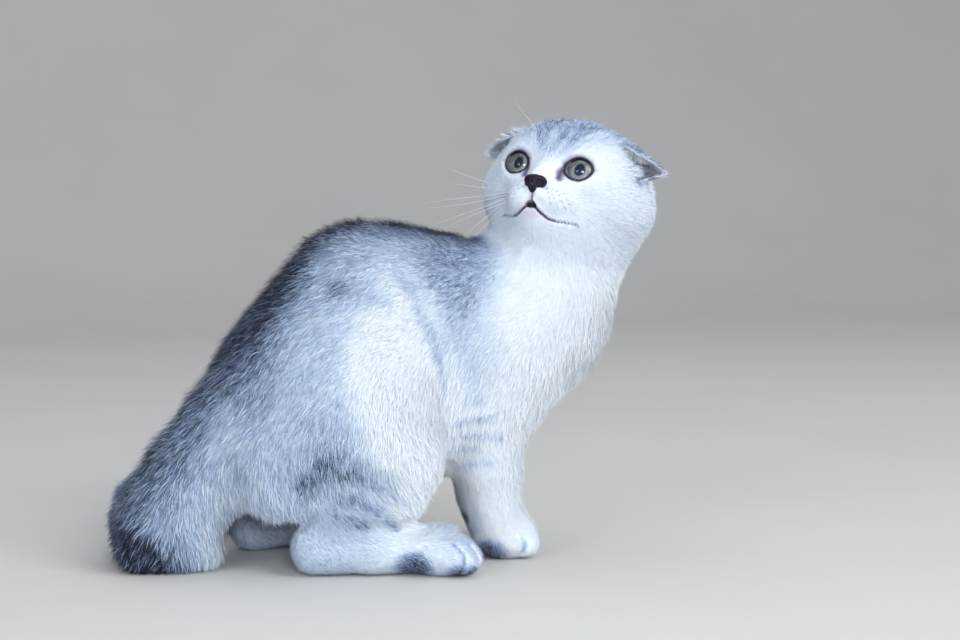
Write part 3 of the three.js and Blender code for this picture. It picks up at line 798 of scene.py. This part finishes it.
def scattered(points, triangles, rates, rng):
    """Places drawn evenly over a surface at the given rates: each one's triangle and its three shares."""
    a, b, c = (points[triangles[:, k]] for k in range(3))
    area = size_of(np.cross(b - a, c - a)) / 2
    chance = np.cumsum(area * rates[triangles].mean(axis=1))
    count = int(chance[-1])
    picks = np.searchsorted(chance, (np.arange(count) + rng.random(count)) * chance[-1] / count)
    picks = np.minimum(picks, len(triangles) - 1)
    r, s = np.sqrt(rng.random(count)), rng.random(count)
    return picks, np.stack([1 - r, r * (1 - s), r * s], axis=1)


def clumped(tips, roots, size, pull, rng):
    """Draws the tips of neighbouring tufts towards one another."""
    seeds = rng.choice(len(tips), max(8, int(len(tips) / size)), replace=False)
    tree = KDTree(len(seeds))
    for i, seed in enumerate(seeds):
        tree.insert(roots[seed], i)
    tree.balance()
    nearest = np.array([tree.find(root)[1] for root in roots])
    return tips + pull[:, None] * (tips[seeds[nearest]] - tips), nearest


def coat_roots(skin, ear):
    """Where each tuft grows: its root, the way out from the skin, its place on the unwrap and on an ear."""
    rng = np.random.default_rng(SEED)
    points = points_of(skin)
    skin.calc_loop_triangles()
    triangles = read(skin.loop_triangles, "vertices", 3, np.int32)
    loops = read(skin.loop_triangles, "loops", 3, np.int32)
    uv = read(skin.uv_layers["OFBake"].data, "uv", 2)
    picks, shares = scattered(points, triangles, density(points, ear), rng)
    corners = triangles[picks]

    def between(values, at):
        return (values[at] * shares[..., None]).sum(axis=1)

    out = unit(between(normals_of(skin), corners))
    return between(points, corners), out, between(uv, loops[picks]), ear[corners].max(axis=1), rng


def grown_tufts(roots, out, on_ear, rng):
    """The five points of each tuft, and the clump that it leans into."""
    count = len(roots)
    spine = along_back(roots)
    guard = rng.random(count) < 0.12 + 0.1 * spine
    longer, usual = rng.uniform(1.05, 1.3, count), rng.uniform(0.7, 1.1, count)
    length = hair_length(roots) * np.where(guard, longer, usual)
    front_edge = both_patches(in_head(roots), (12, 32, 16), (7, 9, 13))
    length = np.where(on_ear > 0, (3.1 + 1.5 * (on_ear == 2)) * rng.uniform(0.7, 1.3, count), length)
    length = length * (1 + 0.75 * front_edge)
    way = lie(roots, out, on_ear)
    on_head = size_of(in_head(roots)) < HEAD_REACH
    lift = coat_lift(roots) + 9 * rng.standard_normal(count).clip(-1.5, 2.5) + 8 * guard
    lift += 14 * guard * hackles(roots) + 12 * guard * spine
    lift += 30 * instep(roots) + 5 * on_head + 14 * front_edge + 12 * (on_ear == 2)
    lift = np.radians(lift).clip(0.05, 1.2)
    rise = np.sin(lift)[:, None]
    side = unit(np.cross(way, out))
    drift = side * (0.22 * rng.standard_normal(count))[:, None] - 0.3 * out * rise
    tips = roots + length[:, None] * (way * np.cos(lift)[:, None] + out * rise + drift)
    pull = 0.36 * smooth(1.5, 6, length) * (1 - 0.4 * on_head)
    tips, clump = clumped(tips, roots, 11, pull, rng)
    bow = length[:, None] * out * (0.16 * rise)
    t = LEVELS[None, :, None]
    line = roots[:, None] - 0.25 * out[:, None]
    line = line + t * (tips - roots)[:, None] + 4 * t * (1 - t) * bow[:, None]
    wide = WIDTHS * (0.15 + 0.014 * length)[:, None] * rng.uniform(0.8, 1.2, (count, 1))
    spread = side[:, None] * wide[..., None] / 2
    left, right = line - spread, line + spread
    tuft = np.stack([left[:, 0], right[:, 0], left[:, 1], right[:, 1], line[:, 2]], axis=1)
    tuft[..., 2] = np.maximum(tuft[..., 2], 0.2)
    return tuft, clump


ALONG = LEVELS[[0, 0, 1, 1, 2]]
ACROSS = np.array([0, 1, 0, 1, 0.5])
TUFT_FACES = [(0, 1, 3, 2), (2, 3, 4)]
TUFT_POINTS = len(ALONG)


def tuft_mesh(name, tufts, tones, pinks, bends, places):
    count = len(tufts)
    mesh = bpy.data.meshes.new(name)
    mesh.vertices.add(count * TUFT_POINTS)
    set_points(mesh, in_row(tufts.reshape(-1, 3)))
    corners = (np.arange(count)[:, None] * TUFT_POINTS + np.concatenate(TUFT_FACES)).ravel()
    sizes = np.tile([len(face) for face in TUFT_FACES], count)
    starts = np.cumsum(sizes) - sizes
    mesh.loops.add(len(corners))
    mesh.loops.foreach_set("vertex_index", corners.astype(np.int32))
    mesh.polygons.add(len(starts))
    mesh.polygons.foreach_set("loop_start", starts.astype(np.int32))
    mesh.update(calc_edges=True)
    set_measures(mesh, tone=tones, blush=pinks)
    uv = np.stack([ACROSS - 0.5, ALONG - 0.5], axis=1) * PATCH + places[:, None]
    layer = mesh.uv_layers.new(name="OFBake")
    layer.data.foreach_set("uv", uv.reshape(-1, 2)[corners].clip(0, 1).astype(np.float32).ravel())
    smoothed(mesh)
    mesh.normals_split_custom_set_from_vertices(bends.reshape(-1, 3))
    return mesh


# Finishes
def new_node(tree, kind, **values):
    """A node with values on its inputs."""
    node = tree.nodes.new(kind)
    for key, value in values.items():
        node.inputs[key.replace("_", " ")].default_value = value
    return node


def linked(tree, *links):
    """Links an output of one node to an input of another, for each (node, output, node, input)."""
    for start, output, end, entry in links:
        tree.links.new(start.outputs[output], end.inputs[entry])


def new_finish(name, roughness, specular=0.3, sheen=0.0):
    """A material, its nodes and its one shader."""
    finish = bpy.data.materials.new(name)
    finish.use_nodes = True
    shader = finish.node_tree.nodes["Principled BSDF"]
    shader.inputs["Roughness"].default_value = roughness
    shader.inputs["Specular IOR Level"].default_value = specular
    shader.inputs["Sheen Weight"].default_value = sheen
    return finish, finish.node_tree, shader


def measure(tree, name):
    """What an attribute of the mesh says."""
    node = new_node(tree, "ShaderNodeAttribute")
    node.attribute_name = name
    return node.outputs["Fac"]


def ramp(tree, value, stops):
    """Colours laid along a value."""
    node = new_node(tree, "ShaderNodeValToRGB")
    tree.links.new(value, node.inputs["Fac"])
    band = node.color_ramp
    while len(band.elements) < len(stops):
        band.elements.new(0.5)
    for element, (at, colour) in zip(band.elements, stops):
        element.position = at
        element.color = (*colour, 1)
    return node.outputs["Color"]


def mixed(tree, share, below, above, kind="MIX"):
    """Two colours mixed by a share."""
    node = new_node(tree, "ShaderNodeMix")
    node.data_type = "RGBA"
    node.blend_type = kind
    for socket, value in ((0, share), (6, below), (7, above)):
        if isinstance(value, (tuple, float, int)):
            node.inputs[socket].default_value = (*value, 1) if isinstance(value, tuple) else value
        else:
            tree.links.new(value, node.inputs[socket])
    return node.outputs[2]


def grain(tree, scale):
    """Noise over the kitten, with the given number of lumps in a metre."""
    noise = new_node(tree, "ShaderNodeTexNoise", Scale=scale, Detail=3.0, Roughness=0.6)
    linked(tree, (new_node(tree, "ShaderNodeTexCoord"), "Object", noise, "Vector"))
    return noise.outputs["Fac"]


def raised(tree, shader, height, strength, distance):
    bump = new_node(tree, "ShaderNodeBump", Strength=strength, Distance=distance)
    tree.links.new(height, bump.inputs["Height"])
    linked(tree, (bump, "Normal", shader, "Normal"))


def grained(name, roughness, specular, scale, low, high, bumps=None):
    """A finish whose colour drifts between two, each at its share of the noise. Bumps are a finer noise's
    scale, strength and height."""
    finish, tree, shader = new_finish(name, roughness, specular)
    tree.links.new(ramp(tree, grain(tree, scale), [low, high]), shader.inputs["Base Color"])
    if bumps:
        fine, strength, height = bumps
        raised(tree, shader, grain(tree, fine), strength, height)
    return finish


SILVER = [  # the coat from white undercoat to the near black tips of the back
    (0.0, (0.87, 0.905, 0.93)),
    (0.22, (0.51, 0.61, 0.77)),
    (0.5, (0.2, 0.27, 0.43)),
    (0.78, (0.05, 0.066, 0.122)),
    (1.0, (0.01, 0.011, 0.021)),
]
IRIS_RING = [  # from the pupil out to the white's edge
    (0.0, (0.02, 0.022, 0.03)),
    (0.09, (0.22, 0.24, 0.25)),
    (0.35, (0.43, 0.455, 0.46)),
    (0.78, (0.36, 0.38, 0.39)),
    (0.9, (0.1, 0.11, 0.13)),
    (1.0, (0.008, 0.008, 0.01)),
]
PINK = (0.5, 0.35, 0.46)
DARK_SKIN = (0.017, 0.009, 0.024)


def coat_finish():
    finish, tree, shader = new_finish("silver coat", 0.65, 0.14, 0.06)
    fur = ramp(tree, measure(tree, "tone"), SILVER)
    streaks = ramp(tree, grain(tree, 900), [(0.3, (0.9, 0.9, 0.92)), (0.7, (1.0, 1.0, 1.0))])
    fur = mixed(tree, 1.0, fur, streaks, "MULTIPLY")
    tree.links.new(mixed(tree, measure(tree, "blush"), fur, PINK), shader.inputs["Base Color"])
    return finish


def skin_finish():
    finish, tree, shader = new_finish("skin under the coat", 0.55, 0.3)
    fur = ramp(tree, measure(tree, "tone"), SILVER)
    skin = mixed(tree, measure(tree, "blush"), fur, PINK)
    skin = mixed(tree, measure(tree, "stain"), skin, DARK_SKIN)
    tree.links.new(skin, shader.inputs["Base Color"])
    raised(tree, shader, grain(tree, 1400), 0.35, 0.0006)
    return finish


def nose_finish():
    finish, tree, shader = new_finish("nose leather", 0.5, 0.2)
    colour = ramp(tree, grain(tree, 420), [(0.3, (0.008, 0.005, 0.012)), (0.7, (0.025, 0.016, 0.034))])
    # near black where the leather holds painted shade in its nostrils and groove
    colour = mixed(tree, measure(tree, "stain"), colour, (0.002, 0.001, 0.002))
    tree.links.new(colour, shader.inputs["Base Color"])
    pebbles = new_node(tree, "ShaderNodeTexVoronoi", Scale=1500)
    linked(tree, (new_node(tree, "ShaderNodeTexCoord"), "Object", pebbles, "Vector"))
    raised(tree, shader, pebbles.outputs["Distance"], 0.5, 0.0003)
    return finish


def iris_finish():
    """Radial fibres between a dark outer ring and the pupil, by the iris's own map: round it, then out."""
    finish, tree, shader = new_finish("grey green iris", 0.5, 0.3)
    place = new_node(tree, "ShaderNodeUVMap")
    place.uv_map = "round"
    split = new_node(tree, "ShaderNodeSeparateXYZ")
    stretched = new_node(tree, "ShaderNodeMapping", Scale=(70, 3.2, 1))
    fibres = new_node(tree, "ShaderNodeTexNoise", Scale=1.0, Detail=4.0)
    linked(tree, (place, "UV", split, 0), (place, "UV", stretched, "Vector"),
           (stretched, "Vector", fibres, "Vector"))
    ring = ramp(tree, split.outputs["Y"], IRIS_RING)
    threads = ramp(tree, fibres.outputs["Fac"], [(0.3, (0.5, 0.5, 0.5)), (0.7, (1.22, 1.2, 1.15))])
    tree.links.new(mixed(tree, 1.0, ring, threads, "MULTIPLY"), shader.inputs["Base Color"])
    return finish


def cornea_finish():
    """A clear wet film: it shows what lies behind it, and reflects by Fresnel."""
    finish, tree, shader = new_finish("clear cornea", 0.5)
    tree.nodes.remove(shader)
    clear = new_node(tree, "ShaderNodeBsdfTransparent")
    wet = new_node(tree, "ShaderNodeBsdfGlossy", Roughness=0.03)
    edge = new_node(tree, "ShaderNodeFresnel", IOR=1.5)
    mix = new_node(tree, "ShaderNodeMixShader")
    linked(tree, (edge, "Fac", mix, "Fac"), (clear, "BSDF", mix, 1), (wet, "BSDF", mix, 2),
           (mix, "Shader", tree.nodes["Material Output"], "Surface"))
    return finish


def sweeping_tree(name, finish):
    """Geometry Nodes that draw a round rod along each line of a mesh, as thick as the line's own measure."""
    tree = bpy.data.node_groups.new(name, "GeometryNodeTree")
    tree.is_modifier = True
    geometry, sides, size, made = (
        tree.interface.new_socket(label, in_out=way, socket_type="NodeSocket" + kind)
        for label, way, kind in (("Geometry", "INPUT", "Geometry"), ("Sides", "INPUT", "Int"),
                                 ("Thickness", "INPUT", "Float"), ("Geometry", "OUTPUT", "Geometry"))
    )
    start, end = new_node(tree, "NodeGroupInput"), new_node(tree, "NodeGroupOutput")
    line = new_node(tree, "GeometryNodeMeshToCurve")
    thick = new_node(tree, "GeometryNodeInputNamedAttribute", Name="thick")
    product = new_node(tree, "ShaderNodeMath")
    product.operation = "MULTIPLY"
    radius = new_node(tree, "GeometryNodeSetCurveRadius")
    ring = new_node(tree, "GeometryNodeCurvePrimitiveCircle", Radius=1.0)
    rod = new_node(tree, "GeometryNodeCurveToMesh", Fill_Caps=True)
    real = new_node(tree, "GeometryNodeRealizeInstances")
    painted = new_node(tree, "GeometryNodeSetMaterial", Material=finish)
    linked(
        tree,
        (start, "Geometry", line, "Mesh"),
        (line, "Curve", radius, "Curve"),
        (thick, "Attribute", product, 0),
        (start, "Thickness", product, 1),
        (product, 0, radius, "Radius"),
        (start, "Sides", ring, "Resolution"),
        (radius, "Curve", rod, "Curve"),
        (ring, "Curve", rod, "Profile Curve"),
        (product, 0, rod, "Scale"),
        (rod, "Mesh", real, "Geometry"),
        (real, "Geometry", painted, "Geometry"),
        (painted, "Geometry", end, "Geometry"),
    )
    return tree, sides.identifier, size.identifier


def swept(name, lines, finish, sides, closed=False):
    """Round rods along lines of (points, thicknesses), in millimetres, as one mesh object."""
    points, thick = (np.concatenate(column) for column in zip(*lines))
    edges, start = [], 0
    for spots, sizes in lines:
        last = start + len(spots) - 1
        edges += [(i, i + 1) for i in range(start, last)] + [(last, start)] * closed
        start = last + 1
    mesh = bpy.data.meshes.new(name)
    mesh.from_pydata(in_row(points).tolist(), edges, [])
    set_measures(mesh, thick=thick)
    thing = shown(name, mesh)
    tree, sides_key, size_key = sweeping_tree(name + " rods", finish)
    rods = thing.modifiers.new("rods", "NODES")
    rods.node_group = tree
    rods[sides_key] = sides
    rods[size_key] = MM
    return shown(name, evaluated_mesh(thing))


# Eyes
IRIS_WIDE = 7.3
PUPIL_WIDE = 2.55
PUPIL_TALL = 1.22  # the pupil's height for its width
CORNEA_SPAN = 57  # degrees from where the eye looks to the cornea's edge
BALL_RADIUS = EYE_RADIUS - 0.15
EYE_STEPS = 64  # corners in each ring of an eye
RIM_RADIUS = EYE_RADIUS + 0.2  # the lids' rims follow the ball at this distance from its middle
LID_STEPS = 96


def turned_form(profile, side):
    """A form turned about the line that an eye looks along, from (ahead, radius, height for width)."""
    steps = EYE_STEPS
    angle = np.arange(steps) * 2 * np.pi / steps
    rows = [
        np.stack([0 * angle + ahead, radius * np.cos(angle), radius * tall * np.sin(angle)], axis=1)
        for ahead, radius, tall in profile
    ]
    points = np.concatenate(rows) @ eye_axes(side).T + EYE_AT * [1, side, 1]
    faces = []
    for j in range(0, steps * (len(profile) - 1), steps):
        for i in range(steps):
            k = (i + 1) % steps
            faces.append((j + i, j + k, j + steps + k, j + steps + i))
    return in_row(from_head(points)), faces


def ball_profile():
    """The eyeball from its back to the edge of the cornea, then in to a seat behind the iris."""
    back = np.radians(np.linspace(179, CORNEA_SPAN, 26))
    ring = [(BALL_RADIUS * math.cos(a), BALL_RADIUS * math.sin(a), 1) for a in back]
    return ring + [(4.5, IRIS_WIDE - 0.1, 1), (4.3, 4.0, 1), (4.3, 0.02, 1)]


def cornea_profile():
    ahead = np.radians(np.linspace(CORNEA_SPAN + 1, 0.2, 20))
    radius = BALL_RADIUS + 0.6 * (1 - (ahead / ahead[0]) ** 2)
    return [(r * math.cos(a), r * math.sin(a), 1) for a, r in zip(ahead, radius)]


def iris_profile():
    """From the iris's outer edge, in and a little ahead, to the pupil's."""
    return [
        (5.3 + 0.8 * s**0.7, IRIS_WIDE + s * (PUPIL_WIDE - IRIS_WIDE), 1 + s * (PUPIL_TALL - 1))
        for s in np.linspace(0, 1, 9)
    ]


def iris_map(mesh, rows):
    layer = mesh.uv_layers.new(name="round")
    for face in mesh.polygons:
        j, i = divmod(face.index, EYE_STEPS)
        spots = ((i, j), (i + 1, j), (i + 1, j + 1), (i, j + 1))
        for loop, (around, row) in zip(face.loop_indices, spots):
            layer.data[loop].uv = (around / EYE_STEPS, 1 - row / (rows - 1))


def made_piece(name, profile, side, finish, *replaced):
    mesh = made_mesh(name, *turned_form(profile, side))
    reshaped(mesh, lambda form: bmesh.ops.remove_doubles(form, verts=form.verts, dist=1e-7))
    dressed(shown(name, mesh), "eye", *replaced, finish=finish)


def lid_line(side):
    """The closed line of an eye's lids over the ball, from the outer corner over the top, and its angles."""
    angle = np.arange(LID_STEPS) * 2 * np.pi / LID_STEPS
    reach = 1 / lid_measure(np.cos(angle), np.sin(angle))
    out, up = spun(reach * np.cos(angle), reach * np.sin(angle), -LID_SLANT)
    up = up - LID_DROP
    ahead = np.sqrt(np.maximum(RIM_RADIUS**2 - out**2 - up**2, 1))
    spots = np.stack([ahead, out * side, up], axis=1) @ eye_axes(side).T + EYE_AT * [1, side, 1]
    return from_head(spots), angle


def make_eyes():
    iris, cornea = iris_finish(), cornea_finish()
    # the ball is near black; its navy tint, seen through the pupil, is a painted blue reflection
    low, high = (0.3, (0.003, 0.008, 0.038)), (0.7, (0.005, 0.017, 0.07))
    ball = grained("eyeball", 0.3, 0.4, 600, low, high)
    low, high = (0.35, (0.003, 0.002, 0.004)), (0.7, (0.015, 0.01, 0.017))
    rim = grained("dark wet lid rim", 0.35, 0.2, 500, low, high, (2200, 0.3, 0.0002))
    for name, side in (("left", 1), ("right", -1)):
        made_piece("eyeball_" + name, ball_profile(), side, ball, "eye_" + name)
        profile = iris_profile()
        mesh = made_mesh("iris_" + name, *turned_form(profile, side))
        iris_map(mesh, len(profile))
        dressed(shown("iris_" + name, mesh), "eye", finish=iris)
        made_piece("cornea_" + name, cornea_profile(), side, cornea)
        line, angle = lid_line(side)
        thick = 0.52 + 0.28 * np.sin(angle)
        dressed(swept("lid_rim_" + name, [(line, thick)], rim, 10, closed=True), "eye")


# Nose leather
def make_nose():
    mesh = netted("nose_leather", ["nose"], 0.25, 0.42)
    spots = relax(points_of(mesh) / MM - home, edges_of(mesh), 8, 0.5, 0.3)
    set_points(mesh, spots)
    face = in_head(spots)
    out = normals_of(mesh) @ head_axes
    # painted shade: the pressed nostrils go near black and the groove below them darker
    dark = np.zeros(len(face))
    for path in NOSTRILS:
        hole = bell(to_path(face, path)[0], 0.95)
        face = face - out * (1.3 * hole)[:, None]
        dark = np.maximum(dark, hole)
    groove = bell(face[:, 1], 0.5) * smooth(-8.5, -10.5, face[:, 2])
    face = face - out * (0.5 * groove)[:, None]
    set_points(mesh, in_row(from_head(face)))
    set_measures(mesh, stain=np.maximum(dark, 0.7 * groove))
    mesh.materials.clear()
    dressed(shown("nose_leather", mesh), "nose", "nose", finish=nose_finish())


# Whiskers: lines in the head's own frame from the muzzle's pad, on its left side
WHISKERS = [
    [(41.5, 8.5, -12), (24.6, 37.4, -8), (23.1, 44.4, -6.1), (20.9, 54.1, -4.4), (18.2, 66.7, -0.9)],
    [(40.8, 11, -12.6), (26, 32.8, -11.4), (24.2, 41, -10.9), (21.5, 53.7, -10), (19.4, 62.8, -9.6)],
    [(39.8, 13, -14.5), (24, 39.8, -15.7), (20, 57.8, -18.1), (15.4, 78.7, -21.6)],
    [(38.5, 15, -16), (22.7, 39.8, -17.9), (17.2, 64.8, -22.6), (14.1, 78.7, -24)],
    [(40.4, 9.5, -15.4), (24.6, 37.5, -22.5), (19, 63, -31.8), (16.7, 73.7, -36.2)],
    [(39, 12, -17.4), (24, 36.1, -23.7), (21.3, 48.2, -29.1), (18.7, 60.1, -35.9)],
    [(38, 13.5, -19), (28.5, 24, -20.5), (23, 38.1, -31.4), (19.9, 52.4, -45.3)],
    [(37, 15, -19.8), (28, 23, -21), (22.8, 30.5, -27), (20, 42.8, -40.1)],
    [(24.5, 13.5, 20), (27.5, 19.4, 26.6), (28, 27, 33.5), (28, 34, 39.8)],
    [(24, 12, 18.5), (27.5, 13.5, 26), (28, 14.5, 33)],
]
BROW = 8  # the first of the brow's


def eased(path, share, count=14):
    """A smooth line near a path's points, from its start to a share of its length."""
    path = np.array(path, float)
    passed = np.concatenate([[0], np.cumsum(size_of(np.diff(path, axis=0)))])
    passed /= passed[-1]
    t = np.linspace(0, share, count)
    power = min(3, len(path) - 1)
    return np.stack([np.polyval(np.polyfit(passed, path[:, k], power), t) for k in range(3)], axis=1)


def make_whiskers(skin_tree):
    rng = np.random.default_rng(SEED + 1)
    rods = []
    for side, share, thick in ((-1, 1, 0.23), (1, 0.72, 0.12)):
        for number, path in enumerate(WHISKERS):
            line = eased(path, share * rng.uniform(0.94, 1)) * [1, side, 1]
            root = in_head(np.array(skin_tree.find_nearest(Vector(from_head(line[0])))[0])[None])[0]
            fade = np.linspace(1, 0, len(line))[:, None]
            line = line + (root - line[0] - [0.8, 0, 0]) * fade**2
            size = thick if number < BROW else 0.09
            rods.append((from_head(line), size * (0.12 + 0.88 * fade[:, 0])))
    low, high = (0.3, (0.86, 0.87, 0.9)), (0.7, (0.97, 0.98, 1.0))
    white = grained("white whisker", 0.35, 0.5, 120, low, high)
    dressed(swept("whiskers", rods, white, 5), "pale_coat")


# The coat's pieces: each takes the tufts whose roots lie in its zone and in no zone before it
def zones(roots, on_ear):
    x, y, z = roots.T
    spots = in_head(roots)
    ahead, left, up = spots.T
    head = size_of(spots) < HEAD_REACH
    tail = near_tail(roots) > 0.5
    rows = [  # name, where it lies, and where it is the left piece of two
        ("ear_coat", on_ear > 0, None),
        ("face_coat", head & (ahead > 16), left > 0),
        ("head_coat", head, left > 0),
        ("tail_root_coat", tail & (y < 12), None),
        ("tail_end_coat", tail, None),
        ("hind_foot_coat", (z < 34) & (x < -36), y > 0),
        ("forepaw_coat", z < 34, None),
        ("foreleg_coat", (x > -32) & (z < 92), None),
        ("chest_coat", x > 12, None),
        ("shoulder_coat", x > -38, None),
        ("flank_coat", x > -86, y > 0),
        ("rump_coat", np.ones(len(x), bool), y > 0),
    ]
    for name, zone, on_left in rows:
        if on_left is None:
            yield name, zone
        else:
            yield name + "_left", zone & on_left
            yield name + "_right", zone


def make_coat(skin, ear, finish):
    roots, out, place, on_ear, rng = coat_roots(skin, ear)
    tufts, clump = grown_tufts(roots, out, on_ear, rng)
    base = shading(roots, on_ear)
    count = len(roots)
    own = 0.65 * rng.uniform(-1, 1, count) + 0.5 * rng.uniform(-1, 1, clump.max() + 1)[clump]
    on_head = smooth(56, 46, size_of(in_head(roots)))
    tip = base * (1.2 + 0.75 * own) + (0.13 + 0.07 * on_head) * np.abs(own)
    tip += 0.12 * cloud(roots, 3.5, 21) * smooth(0.1, 0.4, base)
    pale = rng.random(count) < 0.24 - 0.16 * smooth(0.7, 0.95, base)
    low = 0.35 * base
    tip = np.where(pale, low, tip)
    tone = low[:, None] + (tip - low)[:, None] * smooth(0.05, 0.8, ALONG)
    tone = np.maximum(tone, 0.75 * stain(roots)[:, None]).clip(0, 1)
    pink = (0.8 * blush(roots, on_ear))[:, None] * (1 - 0.5 * ALONG)
    flat = unit(np.cross(tufts[:, 1] - tufts[:, 0], tufts[:, 2] - tufts[:, 0]))
    flat *= np.sign((flat * out).sum(axis=1, keepdims=True))
    bends = unit(0.72 * out + 0.28 * flat)
    left = np.ones(count, bool)
    for name, zone in zones(roots, on_ear):
        mine = np.flatnonzero(zone & left)
        left[mine] = False
        facing = np.repeat(bends[mine, None], TUFT_POINTS, axis=1)
        mesh = tuft_mesh(name, tufts[mine], tone[mine], pink[mine], facing, place[mine])
        mesh.materials.append(finish)
        thing = shown(name, mesh)
        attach(thing, "root")


def unwrapped(skin):
    """Unwraps the skin by its own shape."""
    skin.data.uv_layers.new(name="OFBake")
    bpy.context.view_layer.objects.active = skin
    skin.select_set(True)
    bpy.ops.object.mode_set(mode="EDIT")
    bpy.ops.mesh.select_all(action="SELECT")
    bpy.ops.uv.smart_project(angle_limit=math.radians(66), island_margin=0.0005)
    bpy.ops.object.mode_set(mode="OBJECT")
    skin.select_set(False)


def make_skin_and_coat():
    mesh, ear = whole_skin()
    skin = shown("skin", mesh)
    unwrapped(skin)
    points = points_of(mesh)
    # the skin also takes painted shade in the toes' grooves
    tone = np.maximum(0.5 * shading(points, ear), 0.6 * toe_gaps(points, 1.2))
    set_measures(mesh, tone=tone, blush=blush(points, ear), stain=stain(points))
    make_coat(mesh, ear, coat_finish())
    skin_tree = BVHTree.FromPolygons(points.tolist(), [list(f.vertices) for f in mesh.polygons])
    set_points(mesh, in_row(points))
    dressed(skin, "coat", *FLESH, "ear_left", "ear_right", finish=skin_finish())
    return skin_tree


# Camera, floor and light
LENS = 63.75  # millimetres on a 36 mm wide frame
CAMERA_AT = np.array([-236.0, -880.9, 188.4])
CAMERA_TURN = 15  # degrees from +Y towards +X
CAMERA_DIP = 3.96


def aimed(name, data, at, ahead):
    """A camera or a lamp at a place, looking along a line."""
    thing = shown(name, data)
    thing.location = at
    thing.rotation_euler = ahead.to_track_quat("-Z", "Y").to_euler()
    return thing


def make_camera():
    lens = bpy.data.cameras.new("camera")
    lens.lens = LENS
    lens.sensor_width = 36
    turn, dip = math.radians(CAMERA_TURN), math.radians(CAMERA_DIP)
    ahead = Vector((math.sin(turn) * math.cos(dip), math.cos(turn) * math.cos(dip), -math.sin(dip)))
    bpy.context.scene.camera = aimed("camera", lens, Vector(in_row(CAMERA_AT)), ahead)


def make_light(name, at, size, power, colour, towards=(0.0, 0.0, 0.12)):
    lamp = bpy.data.lights.new(name, "AREA")
    lamp.shape = "RECTANGLE"
    lamp.size, lamp.size_y = size
    lamp.energy = power
    lamp.color = colour
    aimed(name, lamp, at, Vector(towards) - Vector(at))


def make_stage():
    low, high = (0.2, (0.6, 0.59, 0.57)), (0.8, (0.64, 0.63, 0.61))
    finish = grained("plain pale floor", 0.75, 0.2, 3, low, high)
    quarter = np.linspace(0, math.pi / 2, 14)
    rise = [(1.6 + 1.2 * math.sin(a), 1.2 - 1.2 * math.cos(a)) for a in quarter]
    profile = [(-3.0, 0.0), *rise, (2.8, 4.0)]
    points = np.array([(x, y, z) for x in (-5.0, 5.0) for y, z in profile])
    count = len(profile)
    faces = [(i, i + count, i + count + 1, i + 1) for i in range(count - 1)]
    mesh = made_mesh("floor", points, faces)
    mesh.materials.append(finish)
    smoothed(mesh)
    shown("floor", mesh)


def make_light_and_sky():
    make_light("window", (1.1, -1.5, 1.3), (1.3, 1.2), 25.5, (0.97, 0.985, 1.0))
    make_light("fill", (-1.5, -1.3, 0.75), (0.8, 0.55), 8, (0.88, 0.94, 1.0))
    make_light("above", (0.2, 0.3, 1.8), (1.6, 1.6), 7, (0.97, 0.98, 1.0))
    make_light("front", (-0.107, -1.117, 0.387), (0.25, 0.23), 5.4, (0.88, 0.95, 1.0), (0.08, -0.05, 0.2))
    sky = bpy.data.worlds.new("room")
    sky.use_nodes = True
    sky.node_tree.nodes["Background"].inputs["Color"].default_value = (0.86, 0.92, 1.0, 1)
    sky.node_tree.nodes["Background"].inputs["Strength"].default_value = 0.52
    bpy.context.scene.world = sky
    bpy.context.scene.view_settings.view_transform = "Standard"


make_camera()
make_stage()
make_light_and_sky()
skin_places = make_skin_and_coat()
make_eyes()
make_nose()
make_whiskers(skin_places)
